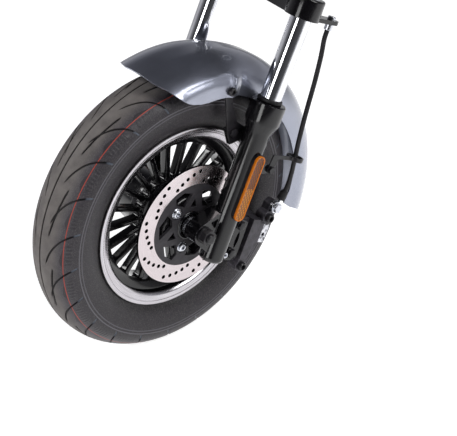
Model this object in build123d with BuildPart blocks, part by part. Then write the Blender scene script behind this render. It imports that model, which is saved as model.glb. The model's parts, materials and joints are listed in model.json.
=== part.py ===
"""Front fork and wheel of a small electric three-wheeler, in millimetres.

+X is forward, +Y is the rider's left and +Z is up, as it stands on the road.
The origin is the middle of the steering head tube, on the steering axis.
"Lead" is a distance forward of that axis, square to it; "rise" is a distance
up along it. "Height" is a rise measured from the wheel's axle.
"""
from build123d import *
import os
from math import cos, pi, radians, sin, sqrt, tan

os.makedirs("parts", exist_ok=True)

# ---- fits ---------------------------------------------------------------------
slip_fit = 0.05             # radial clearance of one round piece in another
face_gap = 0.3              # between faces that pass each other
running_gap = 5.0           # between a turning piece and a still one

# ---- steering geometry --------------------------------------------------------
rake_angle = 27.0           # steering axis, leaning back from upright
yoke_offset = 16.0          # fork legs ahead of the steering axis
axle_lead = 37.6            # axle ahead of the fork legs
axle_drop = 427.0           # axle below the middle of the head tube

# ---- wheel --------------------------------------------------------------------
tyre_radius = 216.3
tyre_half_width = 45.0
tyre_shoulder_drop = 13.4   # shoulder line below the crown
tyre_shoulder_y = 35.5
tyre_wall = 9.0
bead_seat_radius = 127.0
rim_flange_radius = 140.0
rim_flange_y = 35.6         # outer face of the rim flange
rim_flange_wall = 3.9
rim_wall = 4.5
lip_groove_radius = 134.5     # fine groove round the flange's face
lip_groove_depth = 0.8
rim_well_radius = 113.0
rim_well_half_width = 14.0
spoke_count = 21
spoke_start_angle = 24.6
spoke_width = 8.5
spoke_fillet = 5.0
spoke_front_y = 10.0
spoke_depth = 14.0
hub_drum_radius = 52.5
spoke_ring_step = 0.5       # the spokes' roots sit this far inside drum and barrel
hub_drum_half_width = 14.0
hub_neck_radius = 43.0
hub_nose_radius = 22.0
valve_radius = 4.0
valve_y = 22.5
valve_angle = -92.0
valve_length = 30.0

# ---- brake disc ---------------------------------------------------------------
disc_radius = 92.0
disc_inner_radius = 63.9
disc_thickness = 4.0
disc_set_back = 1.4         # its outer face behind the hub's nose
disc_hole_radius = 3.0
disc_hole_rows = 9
disc_holes_in_row = 5
disc_hole_first_angle = 65.8
disc_hole_first_radius = 84.2
disc_hole_step_in = 3.7
carrier_thickness = 5.0
carrier_bolt_circle = 35.0
carrier_bolt_angle = 53.0
carrier_bolt_radius = 4.0
carrier_bolt_head_radius = 6.2
carrier_bolt_head_height = 3.5
carrier_washer_radius = 8.0
carrier_washer_height = 1.0
carrier_land_radius = 9.0

# ---- axle ---------------------------------------------------------------------
axle_radius = 7.0
boss_radius = 17.0
boss_step = 1.5             # its inner face outside the leg's
boss_length = 24.0
axle_washer_radius = 12.5
axle_washer_height = 2.0
axle_nut_flats = 21.0
axle_nut_height = 10.0
axle_thread_stub = 4.0
spacer_radius = 15.0
spacer_length = 8.0         # with its gap to the hub

# ---- fork legs ----------------------------------------------------------------
leg_wall = 3.0              # round the stanchion
leg_foot_height = -42.0
leg_foot_fillet = 8.0
leg_top_height = 204.0
cup_wall = 10.0
cup_length = 28.0
cup_taper_length = 18.0
seal_wall = 2.5
seal_height = 6.0
stanchion_radius = 15.5
stanchion_wall = 2.5
stanchion_foot_height = 100.0
stanchion_cap_height = 5.0

# ---- yoke and steering head ---------------------------------------------------
yoke_thickness = 30.0
yoke_clamp_wall = 9.5
yoke_centre_radius = 30.0
yoke_web_width = 40.0
yoke_corner_fillet = 10.0
stem_radius = 15.0
stem_wall = 4.0
stem_top_radius = 14.0
stem_top_length = 62.7
head_tube_radius = 25.0
head_tube_length = 100.0
head_tube_wall = 6.0
bearing_cup_radius = 24.0
bearing_cup_height = 8.0
crown_race_height = 8.7
lock_nut_flats = 40.0
lock_nut_height = 12.0

# ---- mudguard -----------------------------------------------------------------
guard_centre = (-22.0, 4.0)     # of its arc, from the axle
guard_radius = 238.0
tyre_to_guard = 13.0            # sideways, to its outside
guard_to_leg = 1.5              # sideways, to the leg's widest part
guard_flat_y = 6.0              # the crown is flat this far out
guard_crown_radius = 58.0
guard_crown_y = 42.0
guard_skirt_radius = 182.0
guard_front_angle = 75.7        # of its ends, up from forward
guard_rear_angle = 203.8
guard_wall = 2.5
guard_cheek_depth = 10.0        # its front is wider by this on each side
guard_front_flat_y = 10.0
guard_front_crown_radius = 80.0
guard_front_crown_y = 58.0
guard_cheek_end_angle = 107.5
guard_fade_end_angle = 112.5    # the cheeks fade out by here
guard_overrun = 10.0            # revolved past the front edge, then trimmed
guard_bolt_at = (-72.0, 194.0)
guard_bolt_radius = 6.5
guard_bolt_height = 4.0
stay_thickness = 3.0
stay_bolt_radius = 3.5

# ---- reflectors ---------------------------------------------------------------
reflector_length = 100.0
reflector_width = 18.5
reflector_height = 80.7         # its middle above the axle
reflector_stand_off = 6.5       # its face outside the leg
reflector_lens_depth = 4.0
reflector_pad_margin = 2.0
reflector_pad_wrap = 6.5        # how far its base wraps the leg

# ---- brake caliper, its places from the disc's rear edge and the axle's height ---
caliper_bolt_place = 11.0
caliper_bolt_spacing = 44.0
caliper_bolt_mid_height = -9.3
caliper_bolt_radius = 4.0
caliper_bolt_head_radius = 7.0
caliper_bolt_head_height = 6.0
caliper_lug_inset = 5.0     # its outer face inside the leg's axis
caliper_lug_thickness = 6.0
caliper_inner_depth = 16.6  # its inner face from the disc's outer one
bridge_proud = 4.0          # its outer face outside the lug's
bridge_bevel = 9.0
bracket_length = 15.0
bracket_width = 30.0
bracket_thickness = 14.0
bracket_hole_radius = 3.0
bracket_depth = 2.0         # its outer face inside the caliper's
slide_pin_head_radius = 7.0
slide_pin_head_height = 7.0
slide_ear_length = 18.0
pad_gap = 0.5               # pad to disc
pad_place = (13.0, -11.0)
pad_length = 43.0
pad_width = 24.0

# ---- brake hose -----------------------------------------------------------------
hose_radius = 3.5
hose_boot_radius = 6.0
hose_boot_length = 14.0
banjo_thickness = 6.0
banjo_neck_radius = 2.5
banjo_neck_gap = 0.7        # neck to hose
union_length = 20.0
union_bore_depth = 6.0
clip_ring_at = (-130.0, 127.0)  # lead, height
clip_ring_offset = 5.0      # outside the leg's axis
clip_tab_offset = 7.0
union_offset = 3.0
clip_ring_radius = 13.0
hose_clip_thickness = 2.0
hose_clip_height = 6.0

# ---- what follows from them -------------------------------------------------------
leg_radius = stanchion_radius + leg_wall
cup_radius = stanchion_radius + cup_wall
seal_radius = stanchion_radius + seal_wall
yoke_clamp_radius = stanchion_radius + yoke_clamp_wall
guard_half_width = tyre_half_width + tyre_to_guard
guard_cheek_y = guard_half_width + guard_cheek_depth
leg_spread = guard_half_width + guard_to_leg + cup_radius     # leg to the middle plane
boss_inner_y = leg_spread - leg_radius + boss_step
boss_outer_y = boss_inner_y + boss_length
hub_nose_y = boss_inner_y - spacer_length
disc_outer_y = hub_nose_y - disc_set_back
disc_bolt_outer_y = leg_spread - leg_radius - running_gap - face_gap
disc_bolt_head_y = disc_bolt_outer_y - carrier_bolt_head_height
disc_bolt_seat_y = disc_bolt_head_y - carrier_washer_height
caliper_lug_outer_y = leg_spread - caliper_lug_inset
reflector_face_y = leg_spread + leg_radius + reflector_stand_off
cup_rise = head_tube_length / 2 + bearing_cup_height
yoke_top_rise = -cup_rise - face_gap - crown_race_height
yoke_rise = yoke_top_rise - yoke_thickness / 2
yoke_height = axle_drop + yoke_rise                           # above the axle

up = Vector(-sin(radians(rake_angle)), 0, cos(radians(rake_angle)))
ahead = Vector(cos(radians(rake_angle)), 0, sin(radians(rake_angle)))
left = Vector(0, 1, 0)
wheel_centre = ahead * (yoke_offset + axle_lead) - up * axle_drop
wheel_axis = Axis(wheel_centre, left)


def head_plane(rise):
    """Square to the steering axis: local x is ahead, local y is left."""
    return Plane(origin=up * rise, x_dir=ahead, z_dir=up)


def leg_plane(height):
    """Square to the left leg's axis, centred on it."""
    centre = ahead * yoke_offset + up * (height - axle_drop) + left * leg_spread
    return Plane(origin=centre, x_dir=ahead, z_dir=up)


def fork_side_plane(y):
    """Upright plane at y, centred on the axle: local x is lead, local y is height."""
    return Plane(origin=wheel_centre + left * y, x_dir=ahead, z_dir=-left)


def caliper_plane(y):
    """The same, but centred level with the disc's rear edge."""
    return Plane(origin=wheel_centre + left * y - ahead * disc_radius, x_dir=ahead, z_dir=-left)


def wheel_side_plane(y):
    """Upright plane at y, centred on the axle: local x is forward, local y is up."""
    return Plane(origin=wheel_centre + left * y, x_dir=(1, 0, 0), z_dir=-left)


def wheel_section_plane():
    """Through the axle: local x is left, local y is outward from the axle."""
    return Plane(origin=wheel_centre, x_dir=left, z_dir=(1, 0, 0))


def polar(radius, angle):
    return (radius * cos(radians(angle)), radius * sin(radians(angle)))


def wheel_radius_of(point):
    """Distance of a point from the wheel's axis."""
    return (Vector(*point) - wheel_centre).cross(left).length


def keep(name, part):
    """Label one finished piece and write it out."""
    part.label = name
    export_step(part, f"parts/{name}.step")


# ---- tyre -----------------------------------------------------------------------
shoulder_radius = tyre_radius - tyre_shoulder_drop
crown_arc = (tyre_shoulder_y**2 + tyre_shoulder_drop**2) / (2 * tyre_shoulder_drop)
shoulder_slope = tyre_shoulder_y / crown_arc                  # sine of its angle
side_arc = (tyre_half_width - tyre_shoulder_y) / (1 - shoulder_slope)
widest_radius = shoulder_radius - side_arc * sqrt(1 - shoulder_slope**2)
tyre_foot_radius = rim_flange_radius + 3
tyre_foot_y = rim_flange_y - rim_flange_wall / 2
bead_y = rim_flange_y - rim_flange_wall - slip_fit
bead_toe_y = bead_y - tyre_wall
bead_radius = bead_seat_radius + slip_fit

with BuildPart() as tyre:
    with BuildSketch(wheel_section_plane()):
        with BuildLine():
            crown = TangentArc((0, tyre_radius), (tyre_shoulder_y, shoulder_radius), tangent=(1, 0))
            side = TangentArc(crown @ 1, (tyre_half_width, widest_radius), tangent=crown % 1)
            flank = TangentArc(side @ 1, (tyre_foot_y, tyre_foot_radius), tangent=(0, -1))
            Polyline(
                flank @ 1,
                (bead_y, tyre_foot_radius - 2.5),
                (bead_y, bead_radius),
                (bead_toe_y, bead_radius),
                (bead_toe_y, bead_radius + tyre_wall),
            )
            inner_crown = TangentArc(
                (0, tyre_radius - tyre_wall),
                (tyre_half_width - tyre_wall, widest_radius),
                tangent=(1, 0),
            )
            Line((bead_toe_y, bead_radius + tyre_wall), inner_crown @ 1)
            Line(inner_crown @ 0, crown @ 0)
        make_face()
        mirror(about=Plane.YZ)
    revolve(axis=wheel_axis)
keep("tyre", tyre.part)


# ---- cast alloy wheel -------------------------------------------------------------
flange_inner_y = rim_flange_y - rim_flange_wall
barrel_radius = rim_well_radius - rim_wall
spoke_tip_radius = barrel_radius - spoke_ring_step
spoke_root_radius = hub_drum_radius - spoke_ring_step

with BuildPart() as alloy_wheel:
    with BuildSketch(wheel_section_plane()):
        with BuildLine():
            Polyline(
                (0, rim_well_radius),
                (rim_well_half_width, rim_well_radius),
                (rim_well_half_width + 5, bead_seat_radius),
                (flange_inner_y, bead_seat_radius),
                (flange_inner_y, rim_flange_radius - 1.5),
                (flange_inner_y + 1.2, rim_flange_radius),
                (rim_flange_y - 0.8, rim_flange_radius),
                (rim_flange_y, rim_flange_radius - 1.2),
                (rim_flange_y, lip_groove_radius),
                (rim_flange_y - lip_groove_depth, lip_groove_radius - lip_groove_depth),
                (rim_flange_y - 2 * lip_groove_depth, bead_seat_radius - rim_wall + 1),
                (flange_inner_y - 2, bead_seat_radius - rim_wall),
                (rim_well_half_width + 8, bead_seat_radius - rim_wall),
                (rim_well_half_width + 2, barrel_radius),
                (0, barrel_radius),
                close=True,
            )
        make_face()
        mirror(about=Plane.YZ)
    revolve(axis=wheel_axis)
    with BuildSketch(wheel_side_plane(spoke_front_y)) as spoke_layout:
        Circle(rim_well_radius - rim_wall / 2)
        Circle(spoke_tip_radius, mode=Mode.SUBTRACT)
        Circle(spoke_root_radius)
        with PolarLocations((spoke_root_radius + spoke_tip_radius) / 2, spoke_count, spoke_start_angle):
            Rectangle(spoke_tip_radius - spoke_root_radius + 2, spoke_width)
        spoke_corners = spoke_layout.vertices().group_by(lambda corner: round(wheel_radius_of(corner)))
        for corners in spoke_corners:
            if len(corners) == 2 * spoke_count:
                fillet(corners, spoke_fillet)
    extrude(amount=spoke_depth)
    with BuildSketch(wheel_side_plane(hub_drum_half_width)):
        Circle(hub_drum_radius)
    extrude(amount=2 * hub_drum_half_width)
    disc_seat_y = disc_outer_y - carrier_thickness
    with BuildSketch(wheel_side_plane(disc_seat_y)):
        Circle(hub_neck_radius)
    extrude(amount=disc_seat_y + hub_nose_y)
    with BuildSketch(wheel_side_plane(hub_nose_y)):
        Circle(hub_nose_radius)
    extrude(amount=2 * hub_nose_y)
    with BuildSketch(wheel_side_plane(hub_nose_y)):
        Circle(axle_radius + slip_fit)
    extrude(amount=2 * hub_nose_y, mode=Mode.SUBTRACT)
    valve_plane = Plane(
        origin=wheel_centre + left * valve_y,
        x_dir=left,
        z_dir=(cos(radians(valve_angle)), 0, sin(radians(valve_angle))),
    )
    with BuildSketch(valve_plane):
        Circle(valve_radius + slip_fit)
    extrude(amount=rim_flange_radius, mode=Mode.SUBTRACT)
keep("alloy_wheel", alloy_wheel.part)

valve_top_radius = bead_seat_radius - slip_fit
with BuildPart() as valve_stem:
    with BuildSketch(valve_plane.offset(valve_top_radius - valve_length)):
        Circle(valve_radius)
    extrude(amount=valve_length - 2)
    fillet(valve_stem.edges().sort_by(lambda edge: wheel_radius_of(edge.center()))[0], 1)
keep("valve_stem", valve_stem.part)


# ---- brake disc and its carrier -----------------------------------------------------
with BuildPart() as brake_disc:
    with BuildSketch(wheel_side_plane(disc_outer_y)):
        Circle(disc_radius)
        Circle(disc_inner_radius + slip_fit, mode=Mode.SUBTRACT)
        holes = disc_hole_rows * disc_holes_in_row
        for hole in range(holes):
            radius = disc_hole_first_radius - disc_hole_step_in * (hole % disc_holes_in_row)
            with Locations(polar(radius, disc_hole_first_angle - hole * 360 / holes)):
                Circle(disc_hole_radius, mode=Mode.SUBTRACT)
    extrude(amount=disc_thickness)
keep("brake_disc", brake_disc.part)

# windows of one third of the carrier, as (radius, angle behind the bolt)
carrier_windows = [
    [(50, 12), (57, 33), (55, 55), (32, 35), (37, 18)],
    [(29, 54), (42, 66), (28, 80)],
    [(50, 73), (34, 97), (47, 111), (57, 106), (57, 90)],
]
with BuildPart() as disc_carrier:
    with BuildSketch(wheel_side_plane(disc_outer_y)) as carrier_face:
        Circle(disc_inner_radius)
        for third in range(3):
            bolt_angle = carrier_bolt_angle + 120 * third
            for window in carrier_windows:
                with BuildLine():
                    Polyline(*[polar(r, bolt_angle - turn) for r, turn in window], close=True)
                make_face(mode=Mode.SUBTRACT)
        window_corners = [
            corner for corner in carrier_face.vertices() if wheel_radius_of(corner) < disc_inner_radius - 1
        ]
        fillet(window_corners, 1.5)
        Circle(hub_nose_radius + slip_fit, mode=Mode.SUBTRACT)
        with PolarLocations(carrier_bolt_circle, 3, carrier_bolt_angle):
            Circle(carrier_bolt_radius + slip_fit, mode=Mode.SUBTRACT)
    extrude(amount=carrier_thickness - slip_fit)
    # each bolt's washer lies in a sunk land, which keeps its head off the leg
    with BuildSketch(wheel_side_plane(disc_outer_y)):
        with PolarLocations(carrier_bolt_circle, 3, carrier_bolt_angle):
            Circle(carrier_land_radius)
    extrude(amount=disc_outer_y - disc_bolt_seat_y, mode=Mode.SUBTRACT)
keep("disc_carrier", disc_carrier.part)

with BuildPart() as disc_bolts:
    with BuildSketch(wheel_side_plane(disc_bolt_head_y)):
        with PolarLocations(carrier_bolt_circle, 3, carrier_bolt_angle):
            Circle(carrier_washer_radius)
    extrude(amount=carrier_washer_height)
    with BuildSketch(wheel_side_plane(disc_bolt_outer_y)):
        with PolarLocations(carrier_bolt_circle, 3, carrier_bolt_angle):
            Circle(carrier_bolt_head_radius)
            RegularPolygon(carrier_bolt_head_radius * 0.5, 6, mode=Mode.SUBTRACT)
    extrude(amount=carrier_bolt_head_height)
    with BuildSketch(wheel_side_plane(disc_bolt_seat_y)):
        with PolarLocations(carrier_bolt_circle, 3, carrier_bolt_angle):
            Circle(carrier_bolt_radius)
    extrude(amount=disc_bolt_seat_y - disc_seat_y - slip_fit)
keep("disc_bolts", disc_bolts.part)


# ---- axle ---------------------------------------------------------------------------
axle_end_y = boss_outer_y + axle_washer_height + axle_nut_height + axle_thread_stub
with BuildPart() as axle:
    with BuildSketch(wheel_side_plane(axle_end_y)):
        Circle(axle_radius)
    extrude(amount=axle_end_y + boss_outer_y)
    chamfer(axle.edges().sort_by(Axis.Y)[-1], 1.5)
    with BuildSketch(wheel_side_plane(-boss_outer_y)):
        RegularPolygon(axle_nut_flats / 2, 6, major_radius=False)
    extrude(amount=axle_nut_height)
keep("axle", axle.part)

with BuildPart() as axle_nut:
    with BuildSketch(wheel_side_plane(boss_outer_y + axle_washer_height)):
        Circle(axle_washer_radius)
        Circle(axle_radius + slip_fit, mode=Mode.SUBTRACT)
    extrude(amount=axle_washer_height)
    with BuildSketch(wheel_side_plane(boss_outer_y + axle_washer_height + axle_nut_height)):
        RegularPolygon(axle_nut_flats / 2, 6, major_radius=False)
        Circle(axle_radius + slip_fit, mode=Mode.SUBTRACT)
    extrude(amount=axle_nut_height)
keep("axle_nut", axle_nut.part)

with BuildPart() as left_axle_spacer:
    with BuildSketch(wheel_side_plane(boss_inner_y)):
        Circle(spacer_radius)
        Circle(axle_radius + slip_fit, mode=Mode.SUBTRACT)
    extrude(amount=boss_inner_y - hub_nose_y - face_gap)
keep("left_axle_spacer", left_axle_spacer.part)

with BuildPart() as right_axle_spacer:
    mirror(left_axle_spacer.part, about=Plane.XZ)
keep("right_axle_spacer", right_axle_spacer.part)


# ---- fork legs ----------------------------------------------------------------------
leg_axis = Axis(leg_plane(0).origin, up)
cup_foot_height = leg_top_height - cup_length
taper_foot_height = cup_foot_height - cup_taper_length

with BuildPart() as plain_leg:
    with BuildSketch(fork_side_plane(leg_spread)):
        with BuildLine():
            foot = Line(
                (-axle_lead, leg_foot_height),
                (leg_radius - leg_foot_fillet - axle_lead, leg_foot_height),
            )
            heel = TangentArc(
                foot @ 1,
                (leg_radius - axle_lead, leg_foot_height + leg_foot_fillet),
                tangent=(1, 0),
            )
            Polyline(
                heel @ 1,
                (leg_radius - axle_lead, taper_foot_height),
                (cup_radius - axle_lead, cup_foot_height),
                (cup_radius - axle_lead, leg_top_height - 1.5),
                (cup_radius - 1.5 - axle_lead, leg_top_height),
                (-axle_lead, leg_top_height),
                foot @ 0,
            )
        make_face()
    revolve(axis=leg_axis)
    # arm from the leg down to the axle boss, with a shallow pocket in its face
    with BuildSketch(fork_side_plane(boss_outer_y)):
        Circle(boss_radius)
        with BuildLine():
            Polyline(
                (-axle_lead, 36),
                (-16, 34),
                (9, 14),
                (9, -14),
                (-16, -26),
                (-axle_lead, -34),
                close=True,
            )
        make_face()
    extrude(amount=boss_outer_y - boss_inner_y)
    with BuildSketch(fork_side_plane(boss_outer_y)) as pocket:
        with BuildLine():
            Polyline((-17, 27), (-17, 9), (-4, 19), close=True)
        make_face()
        fillet(pocket.vertices(), 2)
    extrude(amount=6, mode=Mode.SUBTRACT)
    with BuildSketch(fork_side_plane(boss_outer_y)):
        Circle(axle_radius + slip_fit)
    extrude(amount=boss_outer_y - boss_inner_y, mode=Mode.SUBTRACT)


# ---- the right leg, and the left one with its lugs ----------------------------------------
stay_inner_y = guard_cheek_y - guard_wall - stay_thickness - slip_fit
stay_outer_y = stay_inner_y + stay_thickness
stay_foot_bolt = (-76.0, 126.0)         # forward, up, from the axle
stay_ear_thickness = 6.0

with BuildPart() as stanchion_bore:
    with BuildSketch(leg_plane(stanchion_foot_height)):
        Circle(stanchion_radius + slip_fit)
    extrude(amount=leg_top_height - stanchion_foot_height)

with BuildPart() as leg_with_ear:
    add(plain_leg.part)
    # ear behind the mudguard stay's foot, and the block that joins it to the leg
    with BuildSketch(wheel_side_plane(stay_inner_y - slip_fit)):
        with BuildLine():
            Polyline(
                (-66, 134),
                (-86, 134),
                (-104, 120),
                (-118, 120),
                (-118, 106),
                (-72, 106),
                close=True,
            )
        make_face()
        with Locations(stay_foot_bolt):
            Circle(stay_bolt_radius + slip_fit, mode=Mode.SUBTRACT)
    extrude(amount=stay_ear_thickness)
    with BuildSketch(wheel_side_plane(leg_spread - stanchion_radius)):
        with BuildLine():
            Polyline((-105, 120), (-118, 120), (-118, 106), (-105, 106), close=True)
        make_face()
    extrude(amount=leg_spread - stanchion_radius - stay_inner_y + stay_ear_thickness)
    add(stanchion_bore.part, mode=Mode.SUBTRACT)

with BuildPart() as right_lower_leg:
    mirror(leg_with_ear.part, about=Plane.XZ)
keep("right_lower_leg", right_lower_leg.part)

caliper_lug_inner_y = caliper_lug_outer_y - caliper_lug_thickness
caliper_bolt_places = [
    (caliper_bolt_place, caliper_bolt_mid_height + caliper_bolt_spacing / 2),
    (caliper_bolt_place, caliper_bolt_mid_height - caliper_bolt_spacing / 2),
]
lug_screw_at = (22.0, -35.0)
lug_screw_radius = 2.5
clip_tab_outer_y = leg_spread + clip_tab_offset
clip_tab_thickness = 4.0
clip_eye = (-83.0, 107.0)           # lead, height
clip_eye_radius = 6.0
clip_bolt_radius = 3.0

with BuildPart() as left_lower_leg:
    add(leg_with_ear.part)
    # lug that carries the caliper
    with BuildSketch(caliper_plane(caliper_lug_outer_y)):
        with BuildLine():
            Polyline(
                (disc_radius - axle_lead, 26),
                (26, 26),
                (-4, 18),
                (-6, -36),
                (4, -44),
                (30, -42),
                (disc_radius - axle_lead, -36),
                close=True,
            )
        make_face()
        with BuildLine():
            slot_front = ThreePointArc((7, 3), (10.5, -11), (7, -25))
            ThreePointArc(slot_front @ 1, (3.5, -11), slot_front @ 0)
        make_face(mode=Mode.SUBTRACT)
        with Locations(*caliper_bolt_places):
            Circle(caliper_bolt_radius + slip_fit, mode=Mode.SUBTRACT)
        with Locations(lug_screw_at):
            Circle(lug_screw_radius + slip_fit, mode=Mode.SUBTRACT)
    extrude(amount=caliper_lug_thickness)
    # tab that carries the hose clip
    with BuildSketch(fork_side_plane(clip_tab_outer_y)):
        with BuildLine():
            Polyline(
                (-axle_lead - 14, 118),
                (clip_eye[0], clip_eye[1] + clip_eye_radius),
                (clip_eye[0], clip_eye[1] - clip_eye_radius),
                (-axle_lead - 14, 96),
                close=True,
            )
        make_face()
        with Locations(clip_eye):
            Circle(clip_eye_radius)
            Circle(clip_bolt_radius + slip_fit, mode=Mode.SUBTRACT)
    extrude(amount=clip_tab_thickness)
    add(stanchion_bore.part, mode=Mode.SUBTRACT)
keep("left_lower_leg", left_lower_leg.part)


# ---- stanchions, seals and caps -----------------------------------------------------------
stanchion_top_height = yoke_height + yoke_thickness / 2 + 2
with BuildPart() as left_stanchion:
    with BuildSketch(leg_plane(stanchion_foot_height + face_gap)):
        Circle(stanchion_radius)
        Circle(stanchion_radius - stanchion_wall, mode=Mode.SUBTRACT)
    extrude(amount=stanchion_top_height - stanchion_foot_height - face_gap)
keep("left_stanchion", left_stanchion.part)

with BuildPart() as right_stanchion:
    mirror(left_stanchion.part, about=Plane.XZ)
keep("right_stanchion", right_stanchion.part)

with BuildPart() as left_dust_seal:
    with BuildSketch(leg_plane(leg_top_height)):
        Circle(seal_radius)
        Circle(stanchion_radius + slip_fit, mode=Mode.SUBTRACT)
    extrude(amount=seal_height)
    chamfer(left_dust_seal.edges().filter_by(GeomType.CIRCLE).sort_by(SortBy.RADIUS)[-2:], 1)
keep("left_dust_seal", left_dust_seal.part)

with BuildPart() as right_dust_seal:
    mirror(left_dust_seal.part, about=Plane.XZ)
keep("right_dust_seal", right_dust_seal.part)

with BuildPart() as left_stanchion_cap:
    with BuildSketch(leg_plane(stanchion_top_height)):
        Circle(stanchion_radius)
    extrude(amount=stanchion_cap_height)
    with BuildSketch(leg_plane(stanchion_top_height + stanchion_cap_height)):
        RegularPolygon(stanchion_radius * 0.6, 6)
    extrude(amount=stanchion_cap_height)
with BuildPart() as stanchion_caps:
    add(left_stanchion_cap.part)
    mirror(left_stanchion_cap.part, about=Plane.XZ)
keep("stanchion_caps", stanchion_caps.part)


# ---- yoke and stem -------------------------------------------------------------------------
yoke_foot_rise = yoke_rise - yoke_thickness / 2
union_lead = -97.0                  # hose end on the yoke, from the axle
union_y = leg_spread + union_offset
union_radius = 6.0
union_lug_radius = 11.0
union_lug_thickness = 6.0
from_axis = yoke_offset + axle_lead

with BuildPart() as lower_yoke:
    with BuildSketch(head_plane(yoke_foot_rise)) as yoke_face:
        Circle(yoke_centre_radius)
        with Locations((yoke_offset, leg_spread), (yoke_offset, -leg_spread)):
            Circle(yoke_clamp_radius)
        half_web = yoke_web_width / 2
        with BuildLine():
            Polyline(
                (half_web, 0),
                (yoke_offset + half_web, leg_spread),
                (yoke_offset - half_web, leg_spread),
                (-half_web, 0),
                (yoke_offset - half_web, -leg_spread),
                (yoke_offset + half_web, -leg_spread),
                close=True,
            )
        make_face()
        fillet(yoke_face.vertices(), yoke_corner_fillet)
    extrude(amount=yoke_thickness)
    fillet(lower_yoke.faces().sort_by(Axis(Vector(), up))[-1].edges(), 3)
    with BuildSketch(head_plane(yoke_foot_rise)):
        with Locations((union_lead + from_axis, union_y)):
            Circle(union_lug_radius)
        with BuildLine():
            Polyline(
                (union_lead + from_axis, union_y + union_lug_radius),
                (yoke_offset, union_y + union_lug_radius + 2),
                (yoke_offset, union_y - union_lug_radius - 2),
                (union_lead + from_axis, union_y - union_lug_radius),
                close=True,
            )
        make_face()
    extrude(amount=union_lug_thickness)
    with BuildSketch(head_plane(yoke_rise)):
        with Locations((yoke_offset, leg_spread), (yoke_offset, -leg_spread)):
            Circle(stanchion_radius + slip_fit)
        Circle(stem_radius + slip_fit)
        with Locations((union_lead + from_axis, union_y)):
            Circle(union_radius + slip_fit)
    extrude(amount=yoke_thickness, both=True, mode=Mode.SUBTRACT)
keep("lower_yoke", lower_yoke.part)

lock_nut_top_rise = cup_rise + face_gap + lock_nut_height
with BuildPart() as steering_stem:
    with BuildSketch(head_plane(yoke_foot_rise)):
        Circle(stem_radius)
    extrude(amount=lock_nut_top_rise - yoke_foot_rise)
    # the handlebar clamps round the part above the lock nut
    with BuildSketch(head_plane(lock_nut_top_rise)):
        Circle(stem_top_radius)
    extrude(amount=stem_top_length)
    with BuildSketch(head_plane(yoke_foot_rise)):
        Circle(stem_radius - stem_wall)
    extrude(amount=lock_nut_top_rise - yoke_foot_rise + stem_top_length, mode=Mode.SUBTRACT)
keep("steering_stem", steering_stem.part)

with BuildPart() as crown_race:
    with BuildSketch(head_plane(yoke_top_rise)):
        Circle(bearing_cup_radius - 1)
        Circle(stem_radius + slip_fit, mode=Mode.SUBTRACT)
    extrude(amount=crown_race_height)
keep("crown_race", crown_race.part)

with BuildPart() as stem_lock_nut:
    with BuildSketch(head_plane(cup_rise + face_gap)):
        RegularPolygon(lock_nut_flats / 2, 6, major_radius=False)
        Circle(stem_radius + slip_fit, mode=Mode.SUBTRACT)
    extrude(amount=lock_nut_height)
keep("stem_lock_nut", stem_lock_nut.part)


# ---- steering head, which the vehicle holds ---------------------------------------------------
head_bore = head_tube_radius - head_tube_wall
with BuildPart() as head_tube:
    with BuildSketch(head_plane(-head_tube_length / 2)):
        Circle(head_tube_radius)
        Circle(head_bore, mode=Mode.SUBTRACT)
    extrude(amount=head_tube_length)
keep("head_tube", head_tube.part)

with BuildPart() as upper_bearing_cup:
    with BuildSketch(head_plane(head_tube_length / 2)):
        Circle(bearing_cup_radius)
    extrude(amount=bearing_cup_height)
    with BuildSketch(head_plane(head_tube_length / 2)):
        Circle(head_bore - slip_fit)
    extrude(amount=-bearing_cup_height)
    with BuildSketch(head_plane(cup_rise)):
        Circle(stem_radius + slip_fit)
    extrude(amount=-2 * bearing_cup_height, mode=Mode.SUBTRACT)
keep("upper_bearing_cup", upper_bearing_cup.part)

with BuildPart() as lower_bearing_cup:
    mirror(upper_bearing_cup.part, about=head_plane(0))
keep("lower_bearing_cup", lower_bearing_cup.part)


# ---- mudguard --------------------------------------------------------------------------------
guard_middle = wheel_centre + Vector(guard_centre[0], 0, guard_centre[1])
guard_axis = Axis(guard_middle, left)


def guard_side_plane(y):
    """Upright plane at y, centred on the mudguard's arc."""
    return Plane(origin=guard_middle + left * y, x_dir=(1, 0, 0), z_dir=-left)


def guard_section(angle, half_width, flat_y, crown_radius, crown_y, inset):
    """The mudguard's section at this angle round its arc, smaller all over by an inset."""
    crown_slope = (crown_y - flat_y) / crown_radius
    crown_edge_radius = guard_radius - crown_radius * (1 - sqrt(1 - crown_slope**2))
    shoulder_arc = (half_width - crown_y) / (1 - crown_slope)
    shoulder_foot_radius = crown_edge_radius - shoulder_arc * sqrt(1 - crown_slope**2)
    outward = Vector(cos(radians(angle)), 0, sin(radians(angle)))
    with BuildSketch(Plane(origin=guard_middle, x_dir=left, z_dir=left.cross(outward))) as section:
        with BuildLine():
            flat = Line((0, guard_radius), (flat_y, guard_radius))
            crown = TangentArc(flat @ 1, (crown_y, crown_edge_radius), tangent=(1, 0))
            shoulder = TangentArc(crown @ 1, (half_width, shoulder_foot_radius), tangent=crown % 1)
            Polyline(
                shoulder @ 1,
                (half_width, guard_skirt_radius / 2),
                (0, guard_skirt_radius / 2),
                flat @ 0,
            )
        make_face()
        mirror(about=Plane.YZ)
        if inset:
            offset(amount=-inset, mode=Mode.REPLACE)
    return section.sketch


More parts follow.
